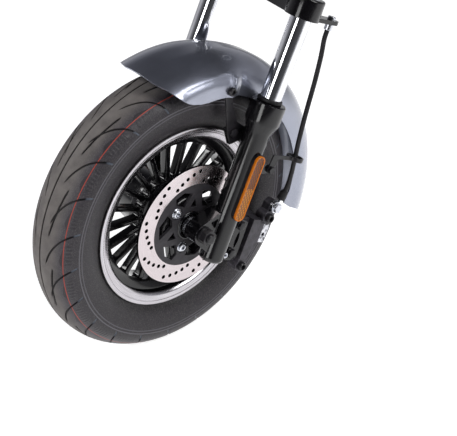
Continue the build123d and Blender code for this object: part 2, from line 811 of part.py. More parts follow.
guard_front = (guard_cheek_y, guard_front_flat_y, guard_front_crown_radius, guard_front_crown_y)
guard_rear = (guard_half_width, guard_flat_y, guard_crown_radius, guard_crown_y)
cheek_end, cheek_end_inside = [
    guard_section(guard_cheek_end_angle, *guard_front, inset) for inset in (0, guard_wall)
]
fade_end, fade_end_inside = [
    guard_section(guard_fade_end_angle, *guard_rear, inset) for inset in (0, guard_wall)
]
with BuildPart() as guard_fade:
    loft(sections=[cheek_end, fade_end])
    loft(sections=[cheek_end_inside, fade_end_inside], mode=Mode.SUBTRACT)
with BuildPart() as front_mudguard:
    revolve(
        profiles=cheek_end - cheek_end_inside,
        axis=guard_axis,
        revolution_arc=guard_cheek_end_angle - guard_front_angle + guard_overrun,
    )
    add(guard_fade.part)
    revolve(
        profiles=fade_end - fade_end_inside,
        axis=guard_axis.reverse(),
        revolution_arc=guard_rear_angle - guard_fade_end_angle + guard_overrun,
    )
    with BuildSketch(guard_side_plane(guard_cheek_y + 1)):
        with BuildLine():
            front = Polyline(
                polar(guard_radius + 12, guard_front_angle),
                polar(guard_radius + 2, guard_front_angle),
                (42, 215.5),
            )
            front_corner = ThreePointArc(front @ 1, (12, 192), (-23, 187))
            cheek_edge = ThreePointArc(front_corner @ 1, (-43, 183), (-60, 177))
            skirt = ThreePointArc(
                cheek_edge @ 1,
                polar(guard_skirt_radius + 1, 135),
                (-guard_skirt_radius, 0),
            )
            rear = Polyline(
                skirt @ 1,
                (-162.5, -49.7),
                polar(guard_radius + 12, guard_rear_angle),
            )
            ThreePointArc(rear @ 1, polar(guard_radius + 12, 140), front @ 0)
        make_face()
    extrude(amount=2 * guard_cheek_y + 2, mode=Mode.INTERSECT)
    with BuildSketch(wheel_side_plane(0)):
        with Locations(guard_bolt_at):
            Circle(stay_bolt_radius + slip_fit)
    extrude(amount=guard_cheek_y + 1, both=True, mode=Mode.SUBTRACT)
keep("front_mudguard", front_mudguard.part)

with BuildPart() as left_mudguard_stay:
    with BuildSketch(wheel_side_plane(stay_outer_y)):
        with BuildLine():
            Polyline(
                (-63, 199.5),
                (-78, 199.5),
                (-76, 185),
                (-76, 172),
                (-84, 140),
                (-104, 121),
                (-104, 108),
                (-72, 108),
                (-66, 128),
                (-64, 172),
                close=True,
            )
        make_face()
        with Locations(guard_bolt_at, stay_foot_bolt):
            Circle(stay_bolt_radius + slip_fit, mode=Mode.SUBTRACT)
    extrude(amount=stay_thickness)
keep("left_mudguard_stay", left_mudguard_stay.part)

with BuildPart() as right_mudguard_stay:
    mirror(left_mudguard_stay.part, about=Plane.XZ)
keep("right_mudguard_stay", right_mudguard_stay.part)

guard_nut_height = 4.0
with BuildPart() as left_mudguard_bolt:
    with BuildSketch(wheel_side_plane(guard_cheek_y + guard_bolt_height)):
        with Locations(guard_bolt_at):
            Circle(guard_bolt_radius)
    extrude(amount=guard_bolt_height)
    with BuildSketch(wheel_side_plane(guard_cheek_y)):
        with Locations(guard_bolt_at):
            Circle(stay_bolt_radius)
    extrude(amount=guard_cheek_y - stay_inner_y + slip_fit + guard_nut_height)
    with BuildSketch(wheel_side_plane(stay_inner_y - slip_fit)):
        with Locations(guard_bolt_at):
            RegularPolygon(guard_bolt_radius, 6)
    extrude(amount=guard_nut_height)
with BuildPart() as mudguard_bolts:
    add(left_mudguard_bolt.part)
    mirror(left_mudguard_bolt.part, about=Plane.XZ)
keep("mudguard_bolts", mudguard_bolts.part)

with BuildPart() as left_stay_bolt:
    with BuildSketch(wheel_side_plane(stay_outer_y + slip_fit + guard_bolt_height)):
        with Locations(stay_foot_bolt):
            RegularPolygon(guard_bolt_radius, 6)
    extrude(amount=guard_bolt_height)
    with BuildSketch(wheel_side_plane(stay_outer_y + slip_fit)):
        with Locations(stay_foot_bolt):
            Circle(stay_bolt_radius)
    extrude(amount=stay_thickness + stay_ear_thickness)
with BuildPart() as stay_bolts:
    add(left_stay_bolt.part)
    mirror(left_stay_bolt.part, about=Plane.XZ)
keep("stay_bolts", stay_bolts.part)


# ---- side reflectors -----------------------------------------------------------------------
lens_back_y = reflector_face_y - reflector_lens_depth
with BuildPart() as left_reflector_base:
    with BuildSketch(fork_side_plane(lens_back_y - slip_fit)):
        with Locations((-axle_lead, reflector_height)):
            SlotOverall(
                reflector_length + reflector_pad_margin,
                reflector_width + reflector_pad_margin,
                rotation=90,
            )
    extrude(amount=lens_back_y - slip_fit - leg_spread - leg_radius + reflector_pad_wrap)
    with BuildSketch(leg_plane(0)):
        Circle(leg_radius + slip_fit)
    extrude(amount=leg_top_height, mode=Mode.SUBTRACT)
keep("left_reflector_base", left_reflector_base.part)

with BuildPart() as right_reflector_base:
    mirror(left_reflector_base.part, about=Plane.XZ)
keep("right_reflector_base", right_reflector_base.part)

with BuildPart() as left_reflector:
    with BuildSketch(fork_side_plane(reflector_face_y)):
        with Locations((-axle_lead, reflector_height)):
            SlotOverall(reflector_length, reflector_width, rotation=90)
    extrude(amount=reflector_lens_depth)
    chamfer(left_reflector.faces().sort_by(Axis.Y)[-1].edges(), 1)
keep("left_reflector", left_reflector.part)

with BuildPart() as right_reflector:
    mirror(left_reflector.part, about=Plane.XZ)
keep("right_reflector", right_reflector.part)


# ---- brake caliper -------------------------------------------------------------------------
caliper_outer_y = caliper_lug_inner_y - slip_fit
caliper_inner_y = disc_outer_y - caliper_inner_depth
bridge_outer_y = caliper_lug_outer_y + bridge_proud
slot_outer_y = disc_outer_y + running_gap
slot_inner_y = disc_seat_y - running_gap
slide_pin_places = [(-38.0, 29.0), (-17.0, -50.0)]
slide_pin_radius = 4.0
slide_ear_radius = 9.5
slide_ear_wall = 4.0
slide_ear_inner_y = bridge_outer_y - slide_ear_length
banjo_at = (-45.5, 46.0)
banjo_radius = 9.0
banjo_bolt_radius = 5.0
banjo_bolt_depth = 8.0
bolt_hole_inner_y = slot_outer_y + 2

with BuildPart() as caliper_body:
    with BuildSketch(caliper_plane(caliper_outer_y)):
        with BuildLine():
            Polyline(
                (30, 20),
                (-36, 24),
                (-48, 14),
                (-48, -20),
                (-36, -44),
                (22, -46),
                (30, -30),
                close=True,
            )
        make_face()
    extrude(amount=caliper_outer_y - caliper_inner_y)
    # bridge behind the lug, with its rear edge bevelled
    with BuildSketch(caliper_plane(bridge_outer_y)):
        with BuildLine():
            Polyline((-10, 24), (-33, 24), (-36, -14), (-34, -46), (-10, -46), close=True)
        make_face()
    extrude(amount=slide_ear_length)
    bridge_edges = caliper_body.faces().sort_by(Axis.Y)[-1].edges().sort_by(Axis(Vector(), ahead))
    chamfer(bridge_edges[:2], bridge_bevel)
    with BuildSketch(caliper_plane(bridge_outer_y)):
        with Locations(*slide_pin_places):
            Circle(slide_ear_radius)
    extrude(amount=slide_ear_length)
    # boss for the hose
    with BuildSketch(caliper_plane(caliper_lug_outer_y)):
        with BuildLine():
            Polyline((-54, 43), (-48, 14), (-34, 22), (-37, 48), close=True)
        make_face()
        with Locations(banjo_at):
            Circle(banjo_radius)
    extrude(amount=caliper_lug_outer_y - slide_ear_inner_y)
    # room for the disc, and holes
    with BuildSketch(wheel_side_plane(slot_outer_y)):
        Circle(disc_radius + running_gap)
    extrude(amount=slot_outer_y - slot_inner_y, mode=Mode.SUBTRACT)
    with BuildSketch(caliper_plane(bridge_outer_y)):
        with Locations(*slide_pin_places):
            Circle(slide_pin_radius + slip_fit)
    extrude(amount=slide_ear_length - slide_ear_wall, mode=Mode.SUBTRACT)
    with BuildSketch(caliper_plane(caliper_outer_y)):
        with Locations(*caliper_bolt_places):
            Circle(caliper_bolt_radius + slip_fit)
    extrude(amount=caliper_outer_y - bolt_hole_inner_y, mode=Mode.SUBTRACT)
    with BuildSketch(caliper_plane(caliper_lug_outer_y)):
        with Locations(banjo_at):
            Circle(banjo_bolt_radius + slip_fit)
    extrude(amount=banjo_bolt_depth, mode=Mode.SUBTRACT)
keep("caliper_body", caliper_body.part)

with BuildPart() as caliper_bracket:
    with BuildSketch(caliper_plane(caliper_outer_y - bracket_depth)) as bracket_face:
        with Locations((-48 - slip_fit, -2)):
            Rectangle(bracket_length, bracket_width, align=(Align.MAX, Align.CENTER))
        fillet(bracket_face.vertices().sort_by(Axis(Vector(), ahead))[:2], 4)
        with Locations((-56, -4)):
            Circle(bracket_hole_radius, mode=Mode.SUBTRACT)
    extrude(amount=bracket_thickness)
keep("caliper_bracket", caliper_bracket.part)

pad_spans = [
    (slot_outer_y - slip_fit, disc_outer_y + pad_gap),
    (disc_outer_y - disc_thickness - pad_gap, slot_inner_y + slip_fit),
]
with BuildPart() as brake_pads:
    for outer_y, inner_y in pad_spans:
        with BuildSketch(caliper_plane(outer_y)):
            with Locations(pad_place):
                Rectangle(pad_width, pad_length)
        extrude(amount=outer_y - inner_y)
keep("brake_pads", brake_pads.part)

with BuildPart() as caliper_bolts:
    with BuildSketch(caliper_plane(caliper_lug_outer_y + caliper_bolt_head_height)):
        with Locations(*caliper_bolt_places):
            RegularPolygon(caliper_bolt_head_radius, 6)
    extrude(amount=caliper_bolt_head_height)
    with BuildSketch(caliper_plane(caliper_lug_outer_y)):
        with Locations(*caliper_bolt_places):
            Circle(caliper_bolt_radius)
    extrude(amount=caliper_lug_outer_y - bolt_hole_inner_y)
keep("caliper_bolts", caliper_bolts.part)

with BuildPart() as caliper_pins:
    with BuildSketch(caliper_plane(bridge_outer_y + slide_pin_head_height)):
        with Locations(*slide_pin_places):
            Circle(slide_pin_head_radius)
            RegularPolygon(slide_pin_head_radius * 0.55, 6, mode=Mode.SUBTRACT)
    extrude(amount=slide_pin_head_height)
    with BuildSketch(caliper_plane(bridge_outer_y + slide_pin_head_height / 3)):
        with Locations(*slide_pin_places):
            Circle(slide_pin_radius)
    extrude(amount=slide_pin_head_height / 3 + slide_ear_length - slide_ear_wall)
keep("caliper_pins", caliper_pins.part)

lug_screw_head_height = 4.0
with BuildPart() as lug_screw:
    with BuildSketch(caliper_plane(caliper_lug_outer_y + lug_screw_head_height)):
        with Locations(lug_screw_at):
            Circle(2 * lug_screw_radius)
    extrude(amount=lug_screw_head_height)
    with BuildSketch(caliper_plane(caliper_lug_outer_y)):
        with Locations(lug_screw_at):
            Circle(lug_screw_radius)
    extrude(amount=caliper_lug_thickness)
keep("lug_screw", lug_screw.part)


# ---- brake hose ----------------------------------------------------------------------------
def fork_point(lead, height, y):
    """A place given by its lead and height from the axle, and by y."""
    return wheel_centre + ahead * lead + up * height + left * y


hose_foot = fork_point(-disc_radius - 50, 58, leg_spread - 2)
union_foot_height = yoke_height - yoke_thickness / 2 - union_length / 2
hose_points = [
    hose_foot,
    fork_point(-disc_radius - 53, 80, leg_spread),
    fork_point(-140, 102, leg_spread + 2),
    fork_point(-131, 128, leg_spread + 4.5),
    fork_point(-123.5, 158, leg_spread + 5),
    fork_point(-116, 200, leg_spread + 5),
    fork_point(-110, 245, leg_spread + 5),
    fork_point(-103, 285, leg_spread + 4),
    fork_point(union_lead, union_foot_height - 12, union_y),
    fork_point(union_lead, union_foot_height + union_bore_depth, union_y),
]
bend_radii = []
for before, corner, after in zip(hose_points, hose_points[1:], hose_points[2:]):
    turn = radians((corner - before).get_angle(after - corner))
    shorter_run = min((corner - before).length, (after - corner).length)
    bend_radii.append(0.45 * shorter_run / tan(turn / 2))

with BuildPart() as brake_hose:
    with BuildLine() as hose_route:
        FilletPolyline(*hose_points, radius=bend_radii)
    hose_line = hose_route.wires()[0]
    with BuildSketch(Plane(origin=hose_line @ 0, z_dir=hose_line % 0)):
        Circle(hose_radius)
    sweep(path=hose_line)
keep("brake_hose", brake_hose.part)

hose_foot_plane = Plane(origin=hose_foot, z_dir=hose_points[1] - hose_foot)
with BuildPart() as hose_boot:
    with BuildSketch(hose_foot_plane.offset(1)):
        Circle(hose_boot_radius)
        Circle(hose_radius + slip_fit, mode=Mode.SUBTRACT)
    extrude(amount=hose_boot_length, taper=2)
keep("hose_boot", hose_boot.part)

banjo_middle_y = caliper_lug_outer_y + banjo_thickness / 2
banjo_centre = fork_point(banjo_at[0] - disc_radius, banjo_at[1], banjo_middle_y)
banjo_head_height = 5.0
with BuildPart() as banjo_fitting:
    with BuildSketch(caliper_plane(caliper_lug_outer_y + banjo_thickness)):
        with Locations(banjo_at):
            Circle(banjo_radius)
    extrude(amount=banjo_thickness)
    with BuildSketch(caliper_plane(caliper_lug_outer_y + banjo_thickness + banjo_head_height)):
        with Locations(banjo_at):
            RegularPolygon(banjo_radius * 0.8, 6)
    extrude(amount=banjo_head_height)
    with BuildSketch(caliper_plane(caliper_lug_outer_y)):
        with Locations(banjo_at):
            Circle(banjo_bolt_radius)
    extrude(amount=banjo_bolt_depth)
    # neck that the hose is crimped to
    with BuildSketch(Plane(origin=banjo_centre, z_dir=hose_foot - banjo_centre)):
        Circle(banjo_neck_radius)
    extrude(amount=(hose_foot - banjo_centre).length - banjo_neck_gap)
keep("banjo_fitting", banjo_fitting.part)

union_plane = Plane(origin=fork_point(union_lead, union_foot_height, union_y), x_dir=ahead, z_dir=up)
with BuildPart() as hose_union:
    with BuildSketch(union_plane):
        Circle(union_radius)
    extrude(amount=union_length)
    with BuildSketch(union_plane):
        Circle(hose_radius + slip_fit)
    extrude(amount=union_bore_depth + slip_fit, mode=Mode.SUBTRACT)
keep("hose_union", hose_union.part)

clip_inner_y = clip_tab_outer_y + slip_fit
with BuildPart() as hose_clip:
    with BuildSketch(leg_plane(clip_ring_at[1] - hose_clip_height / 2)):
        with Locations((clip_ring_at[0] + axle_lead, clip_ring_offset)):
            Circle(clip_ring_radius)
            Circle(clip_ring_radius - hose_clip_thickness, mode=Mode.SUBTRACT)
    extrude(amount=hose_clip_height)
    # arm from the bolt up to the ring
    with BuildSketch(fork_side_plane(clip_inner_y + hose_clip_thickness)):
        with BuildLine():
            Polyline(
                (clip_eye[0] + clip_eye_radius, clip_eye[1]),
                (clip_eye[0] + clip_eye_radius - 2, clip_ring_at[1] + hose_clip_height / 2),
                (clip_ring_at[0] + clip_ring_radius - 4, clip_ring_at[1] + hose_clip_height / 2),
                (clip_ring_at[0] + clip_ring_radius - 4, clip_ring_at[1] - hose_clip_height / 2),
                (clip_eye[0] - clip_eye_radius - 3, clip_ring_at[1] - hose_clip_height / 2),
                (clip_eye[0] - clip_eye_radius, clip_eye[1]),
                close=True,
            )
        make_face()
        with Locations(clip_eye):
            Circle(clip_eye_radius)
            Circle(clip_bolt_radius + slip_fit, mode=Mode.SUBTRACT)
    extrude(amount=hose_clip_thickness)
keep("hose_clip", hose_clip.part)

with BuildPart() as hose_clip_bolt:
    with BuildSketch(fork_side_plane(clip_inner_y + hose_clip_thickness + 4)):
        with Locations(clip_eye):
            RegularPolygon(clip_eye_radius - 0.5, 6)
    extrude(amount=4)
    with BuildSketch(fork_side_plane(clip_inner_y + hose_clip_thickness)):
        with Locations(clip_eye):
            Circle(clip_bolt_radius)
    extrude(amount=hose_clip_thickness + clip_tab_thickness)
keep("hose_clip_bolt", hose_clip_bolt.part)
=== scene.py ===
"""Looks of the front fork and wheel assembly, in metres, in the CAD model's frame."""
import bpy
import bmesh
import json
import math
import numpy as np
from mathutils import Matrix, Vector


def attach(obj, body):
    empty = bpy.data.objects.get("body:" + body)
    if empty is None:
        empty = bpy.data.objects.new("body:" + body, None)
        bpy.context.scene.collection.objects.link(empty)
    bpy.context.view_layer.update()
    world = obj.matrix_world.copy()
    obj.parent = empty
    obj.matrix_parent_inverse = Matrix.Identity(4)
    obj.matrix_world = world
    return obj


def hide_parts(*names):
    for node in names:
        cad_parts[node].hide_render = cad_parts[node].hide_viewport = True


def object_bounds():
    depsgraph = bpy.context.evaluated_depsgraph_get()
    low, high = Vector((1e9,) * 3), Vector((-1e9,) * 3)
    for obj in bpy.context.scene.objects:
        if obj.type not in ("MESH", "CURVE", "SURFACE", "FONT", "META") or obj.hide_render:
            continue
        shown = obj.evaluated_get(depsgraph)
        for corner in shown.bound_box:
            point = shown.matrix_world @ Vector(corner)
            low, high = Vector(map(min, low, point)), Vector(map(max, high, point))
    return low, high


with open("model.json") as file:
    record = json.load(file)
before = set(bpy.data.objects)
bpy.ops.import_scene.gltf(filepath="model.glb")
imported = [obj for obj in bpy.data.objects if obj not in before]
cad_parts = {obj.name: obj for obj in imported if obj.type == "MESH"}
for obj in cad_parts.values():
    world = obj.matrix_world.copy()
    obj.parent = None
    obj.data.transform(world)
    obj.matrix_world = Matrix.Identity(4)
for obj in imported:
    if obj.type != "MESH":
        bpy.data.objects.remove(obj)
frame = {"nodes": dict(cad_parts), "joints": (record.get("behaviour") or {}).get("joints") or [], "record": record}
cad_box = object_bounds()
MM = 0.001

joints = {joint["name"]: joint for joint in frame["joints"]}
UP = Vector(joints["steering"]["axis"]).normalized()
LEFT = Vector((0, 1, 0))
AHEAD = LEFT.cross(UP)
AXLE = Vector(joints["wheel_spin"]["pos_m"])
BODY_OF = {node: body for body, nodes in frame["record"]["behaviour"]["bodies"].items() for node in nodes}
SLOT_OF = {part["node"]: part["material_slot"] for part in frame["record"]["subparts"]}


# ---- materials --------------------------------------------------------------------
def colour(code):
    """Linear red, green, blue and alpha of an sRGB colour such as "38363a"."""
    parts = [int(code[i : i + 2], 16) / 255 for i in (0, 2, 4)]
    return (*[p / 12.92 if p < 0.04045 else ((p + 0.055) / 1.055) ** 2.4 for p in parts], 1)


class Finish:
    """A material in the making: its shader, and short ways to add nodes to it."""

    def __init__(self, name, **sockets):
        self.material = bpy.data.materials.new(name)
        self.material.use_nodes = True
        self.tree = self.material.node_tree
        self.shader = self.tree.nodes["Principled BSDF"]
        for socket, value in sockets.items():
            self.shader.inputs[socket.replace("_", " ")].default_value = value
        self.place = self.node("TexCoord").outputs["Object"]

    def feed(self, socket, value):
        if isinstance(value, bpy.types.NodeSocket):
            self.tree.links.new(value, socket)
        else:
            socket.default_value = value

    def node(self, kind, **values):
        node = self.tree.nodes.new("ShaderNode" + kind)
        for name, value in values.items():
            if hasattr(node, name):
                setattr(node, name, value)
            else:
                self.feed(node.inputs[name.replace("_", " ")], value)
        return node

    def maths(self, operation, *values):
        node = self.node("Math", operation=operation)
        for socket, value in zip(node.inputs, values):
            self.feed(socket, value)
        return node.outputs[0]

    def noise(self, scale, detail=3, place=None, roughness=0.55):
        node = self.node("TexNoise", Scale=scale, Detail=detail, Roughness=roughness)
        self.feed(node.inputs["Vector"], place or self.place)
        return node.outputs[0]

    def steps(self, value, *stops):
        """Colour ramp through (position, colour) stops."""
        node = self.node("ValToRGB")
        elements = node.color_ramp.elements
        while len(elements) < len(stops):
            elements.new(1)
        for element, (position, shade) in zip(elements, stops):
            element.position = position
            element.color = shade
        self.feed(node.inputs[0], value)
        return node.outputs[0]

    def between(self, value, low, high, to_low=0.0, to_high=1.0, smooth=True):
        """Value taken from the range low to high onto to_low to to_high."""
        kind = "SMOOTHSTEP" if smooth else "LINEAR"
        node = self.node("MapRange", interpolation_type=kind)
        for socket, given in zip(node.inputs, (value, low, high, to_low, to_high)):
            self.feed(socket, given)
        return node.outputs[0]

    def band(self, value, low, high, blur):
        """1 between low and high, 0 outside."""
        rise = self.between(value, low - blur, low + blur)
        fall = self.between(value, high - blur, high + blur, 1.0, 0.0)
        return self.maths("MULTIPLY", rise, fall)

    def mix(self, share, first, second):
        node = self.node("Mix", data_type="RGBA")
        self.feed(node.inputs["Factor"], share)
        colours = [socket for socket in node.inputs if socket.type == "RGBA"]
        for socket, given in zip(colours, (first, second)):
            self.feed(socket, given)
        return next(socket for socket in node.outputs if socket.type == "RGBA")

    def bump(self, height, distance, normal=None):
        node = self.node("Bump", Strength=1.0, Distance=distance)
        self.feed(node.inputs["Height"], height)
        if normal:
            self.feed(node.inputs["Normal"], normal)
        return node.outputs[0]

    def rounded(self, radius):
        """Normals of edges rounded to this radius, and 1 along those edges."""
        normal = self.node("Bevel", samples=4, Radius=radius).outputs[0]
        true_normal = self.node("NewGeometry").outputs["Normal"]
        turned = self.node("VectorMath", operation="DOT_PRODUCT")
        self.feed(turned.inputs[0], normal)
        self.feed(turned.inputs[1], true_normal)
        return normal, self.between(turned.outputs["Value"], 0.97, 0.8)

    def round_axle(self):
        """Distance from the wheel's axle, angle round it and place along it."""
        away = self.node("VectorMath", operation="SUBTRACT")
        self.feed(away.inputs[0], self.place)
        self.feed(away.inputs[1], AXLE)
        parts = self.node("SeparateXYZ")
        self.feed(parts.inputs[0], away.outputs[0])
        x, y, z = parts.outputs
        squares = [self.maths("MULTIPLY", side, side) for side in (x, z)]
        radius = self.maths("SQRT", self.maths("ADD", *squares))
        return radius, self.maths("ARCTAN2", z, x), y

    def vector(self, x, y, z):
        node = self.node("CombineXYZ")
        for socket, value in zip(node.inputs, (x, y, z)):
            self.feed(socket, value)
        return node.outputs[0]

    def finish(self, base=None, roughness=None, normal=None):
        if base:
            self.feed(self.shader.inputs["Base Color"], base)
        if roughness:
            self.feed(self.shader.inputs["Roughness"], roughness)
        if normal:
            self.feed(self.shader.inputs["Normal"], normal)
        return self.material


def hard_finish(name, dark, light, edge, rough, mottle, grain, depth, edge_radius=0.7, **sockets):
    """Paint, cast or plated metal: two shades, edges lighter in a third from wear and a painted highlight, a fine
    grain.
    """
    f = Finish(name, **sockets)
    normal, edge_wear_and_highlight = f.rounded(edge_radius * MM)
    patches = f.noise(mottle)
    base = f.mix(f.between(patches, 0.35, 0.65), colour(dark), colour(light))
    scuffs = f.between(f.noise(600, 2), 0.3, 0.7)
    # edges lighter: partly wear, partly a painted highlight along them
    base = f.mix(f.maths("MULTIPLY", edge_wear_and_highlight, scuffs), base, colour(edge))
    roughness = f.between(f.noise(mottle * 3, 2), 0.3, 0.7, rough[0], rough[1], smooth=False)
    return f.finish(base, roughness, f.bump(f.noise(grain, 2), depth * MM, normal))


def soft_finish(name, dark, light, rough, mottle, grain, depth, **sockets):
    """Moulded rubber or plastic: two close shades under a fine grain."""
    f = Finish(name, **sockets)
    base = f.mix(f.between(f.noise(mottle), 0.35, 0.65), colour(dark), colour(light))
    roughness = f.between(f.noise(mottle * 3, 2), 0.3, 0.7, rough[0], rough[1], smooth=False)
    return f.finish(base, roughness, f.bump(f.noise(grain, 3), depth * MM))


def lathed_finish(name, dark, light, rough, rings, depth, wall_shade=None, **sockets):
    """Metal ground or turned round the wheel's axle; a last colour, if given, is painted as shade on faces along
    it.
    """
    f = Finish(name, Metallic=1.0, **sockets)
    radius, angle, along = f.round_axle()

    def drawn_out(detail, across, around):
        """Noise drawn out round the axle."""
        place = (f.maths("MULTIPLY", radius, across), f.maths("MULTIPLY", angle, around), along)
        return f.noise(1, detail, f.vector(*place))

    lines, clouds = drawn_out(3, rings, 2.5), drawn_out(2, 60, 3)
    base = f.mix(f.between(lines, 0.3, 0.7), colour(dark), colour(light))
    # faces along the axle, such as the walls of holes, get a painted shade
    if wall_shade:
        facing = f.node("SeparateXYZ")
        f.feed(facing.inputs[0], f.node("NewGeometry").outputs["True Normal"])
        wall = f.between(f.maths("ABSOLUTE", facing.outputs[1]), 0.2, 0.9, 1.0, 0.0)
        base = f.mix(wall, base, colour(wall_shade))
    roughness = f.between(clouds, 0.3, 0.7, rough[0], rough[1], smooth=False)
    return f.finish(base, roughness, f.bump(lines, depth * MM))


def guard_finish():
    """Metallic paint with fine flakes, under a clear coat."""
    f = Finish("guard_paint", Metallic=0.88, Coat_Weight=1.0, Coat_Roughness=0.04)
    flakes = f.noise(9000, 1)
    base = f.mix(f.between(flakes, 0.4, 0.6), colour("8b8f9f"), colour("a9adbc"))
    base = f.mix(f.between(f.noise(25), 0.3, 0.7, 0.0, 0.5), base, colour("9a9eac"))
    roughness = f.between(f.noise(40, 2), 0.3, 0.7, 0.3, 0.38, smooth=False)
    return f.finish(base, roughness, f.bump(flakes, 0.002 * MM))


def bracket_finish():
    """Bare casting, blotched dark and bright."""
    f = Finish("bare_casting", Metallic=1.0)
    normal, edge_wear_and_highlight = f.rounded(0.8 * MM)
    blotches = f.noise(140, 4)
    shades = (0.36, colour("4b4a50")), (0.5, colour("c9cad0")), (0.75, colour("f0f0f4"))
    # edges near white: partly wear, partly a painted highlight along them
    base = f.mix(edge_wear_and_highlight, f.steps(blotches, *shades), colour("f4f4f8"))
    grain = f.bump(f.noise(900, 3), 0.12 * MM, normal)
    return f.finish(base, f.between(blotches, 0.3, 0.7, 0.5, 0.22), grain)


def lens_finish():
    """Amber lens over rows of small prisms, with a bright smooth rim, painted lighter as light on its lower half
    and darker as shade on its upper half and in the prisms' valleys.
    """
    f = Finish("amber_lens", Coat_Weight=0.12, Coat_Roughness=0.03, Specular_IOR_Level=0.22)
    parts = f.node("SeparateXYZ")
    f.feed(parts.inputs[0], f.node("UVMap", uv_map="lens").outputs[0])
    across, along = parts.outputs[:2]
    waves = []
    for sign in (1, -1):
        slope = f.maths("MULTIPLY", along, sign * 0.8)
        lane = f.maths("MULTIPLY", f.maths("ADD", across, slope), 0.19)
        waves.append(f.maths("PINGPONG", lane, 0.5))
    prisms = f.maths("MULTIPLY", f.maths("MULTIPLY", waves[0], waves[1]), 4.0)
    inner = f.node("Attribute", attribute_name="lens_face").outputs["Fac"]
    # the lower half is painted lighter as light and the upper half darker as shade
    lit_lower_half = f.between(along, -0.5, 0.5, 1.0, 0.0)
    face = f.mix(lit_lower_half, colour("a8622c"), colour("f0a23a"))
    deep = f.mix(lit_lower_half, colour("5c3216"), colour("8a4f10"))
    # the valleys between the prisms are painted darker as shade
    base = f.mix(f.between(prisms, 0.2, 0.6), deep, face)
    base = f.mix(inner, colour("dd7a14"), base)
    height = f.maths("MULTIPLY", prisms, inner)
    return f.finish(base, f.between(prisms, 0.0, 1.0, 0.3, 0.16), f.bump(height, 0.5 * MM))


# arc lengths from the crown, in mm, of the coloured line and the band of ribs beside it
TREAD_LINE, TREAD_RIBS = (37.85, 38.95), (41.5, 50.5)


def tyre_finish():
    """Rubber, paler towards the crown, with the line, ribs and scallops of its tread; shade is painted into its
    grooves, scallops, the ground between the ribs and next to the rim, and highlights onto its ridges and the ends
    of the grooves.
    """
    f = Finish("tyre_rubber", Specular_IOR_Level=0.3)
    parts = f.node("SeparateXYZ")
    f.feed(parts.inputs[0], f.node("UVMap", uv_map="tread").outputs[0])
    turn, s = parts.outputs[0], f.maths("ABSOLUTE", parts.outputs[1])
    groove = f.node("Attribute", attribute_name="groove").outputs["Fac"]
    lane = f.node("Attribute", attribute_name="lane").outputs["Fac"]
    # paler towards the crown, darker down the sidewall, with a painted shade in the last band next to the rim
    base = f.steps(
        f.maths("DIVIDE", s, 110.0),
        (0.0, colour("7d7875")),
        (0.2, colour("716c6a")),
        (0.31, colour("47444a")),
        (0.5, colour("322f34")),
        (0.82, colour("2e2b30")),
        (0.9, colour("1c1a1d")),
    )
    base = f.mix(f.between(f.noise(60, 4), 0.3, 0.75, 0.0, 0.35), base, colour("2a282b"))
    base = f.mix(f.between(f.noise(700, 3), 0.45, 0.7, 0.0, 0.3), base, colour("7a7674"))
    # painted shade of shallow dishes between the grooves, just inside the stripe
    reach = f.between(lane, 0.38, 1.0, 37.2, 32.8)
    inner_edge = f.between(s, reach, f.maths("ADD", reach, 0.5))
    dish_shade = f.maths("MULTIPLY", inner_edge, f.between(s, 37.4, 37.8, 1.0, 0.0))
    base = f.mix(f.maths("MULTIPLY", dish_shade, 0.7), base, colour("2b292c"))
    # short ribs between the grooves, just outside the stripe, with painted shade on the low ground between them
    ribs = f.between(f.maths("PINGPONG", f.maths("MULTIPLY", turn, 10.0), 0.5), 0.12, 0.3)
    ribbed = f.maths("MULTIPLY", f.band(s, *TREAD_RIBS, 0.8), f.between(lane, 0.3, 0.45))
    ribs = f.maths("MULTIPLY", ribs, ribbed)
    base = f.mix(f.maths("MULTIPLY", ribs, 0.3), base, colour("1f1e20"))
    base = f.mix(f.band(s, *TREAD_LINE, 0.12), base, colour("b4483a"))
    # painted highlights along the two raised ridges of the sidewall
    base = f.mix(f.band(s, 60.7, 62.3, 0.3), base, colour("68666c"))
    base = f.mix(f.band(s, 65.2, 66.8, 0.3), base, colour("5e5c62"))
    # painted shade in the grooves, darker where they are deeper
    base = f.mix(f.between(groove, 0.1, 0.8, 0.0, 0.9), base, colour("141315"))
    # the shallow lower ends of the grooves are smooth and catch the light
    ends = f.maths("MULTIPLY", f.band(s, 49.5, 58.5, 1.5), f.between(groove, 0.04, 0.2))
    base = f.mix(ends, base, colour("59606b"))
    height = f.maths("SUBTRACT", f.maths("MULTIPLY", f.noise(1500, 3), 0.25), ribs)
    roughness = f.between(s, 20.0, 45.0, 0.62, 0.42)
    return f.finish(base, roughness, f.bump(height, 0.35 * MM))


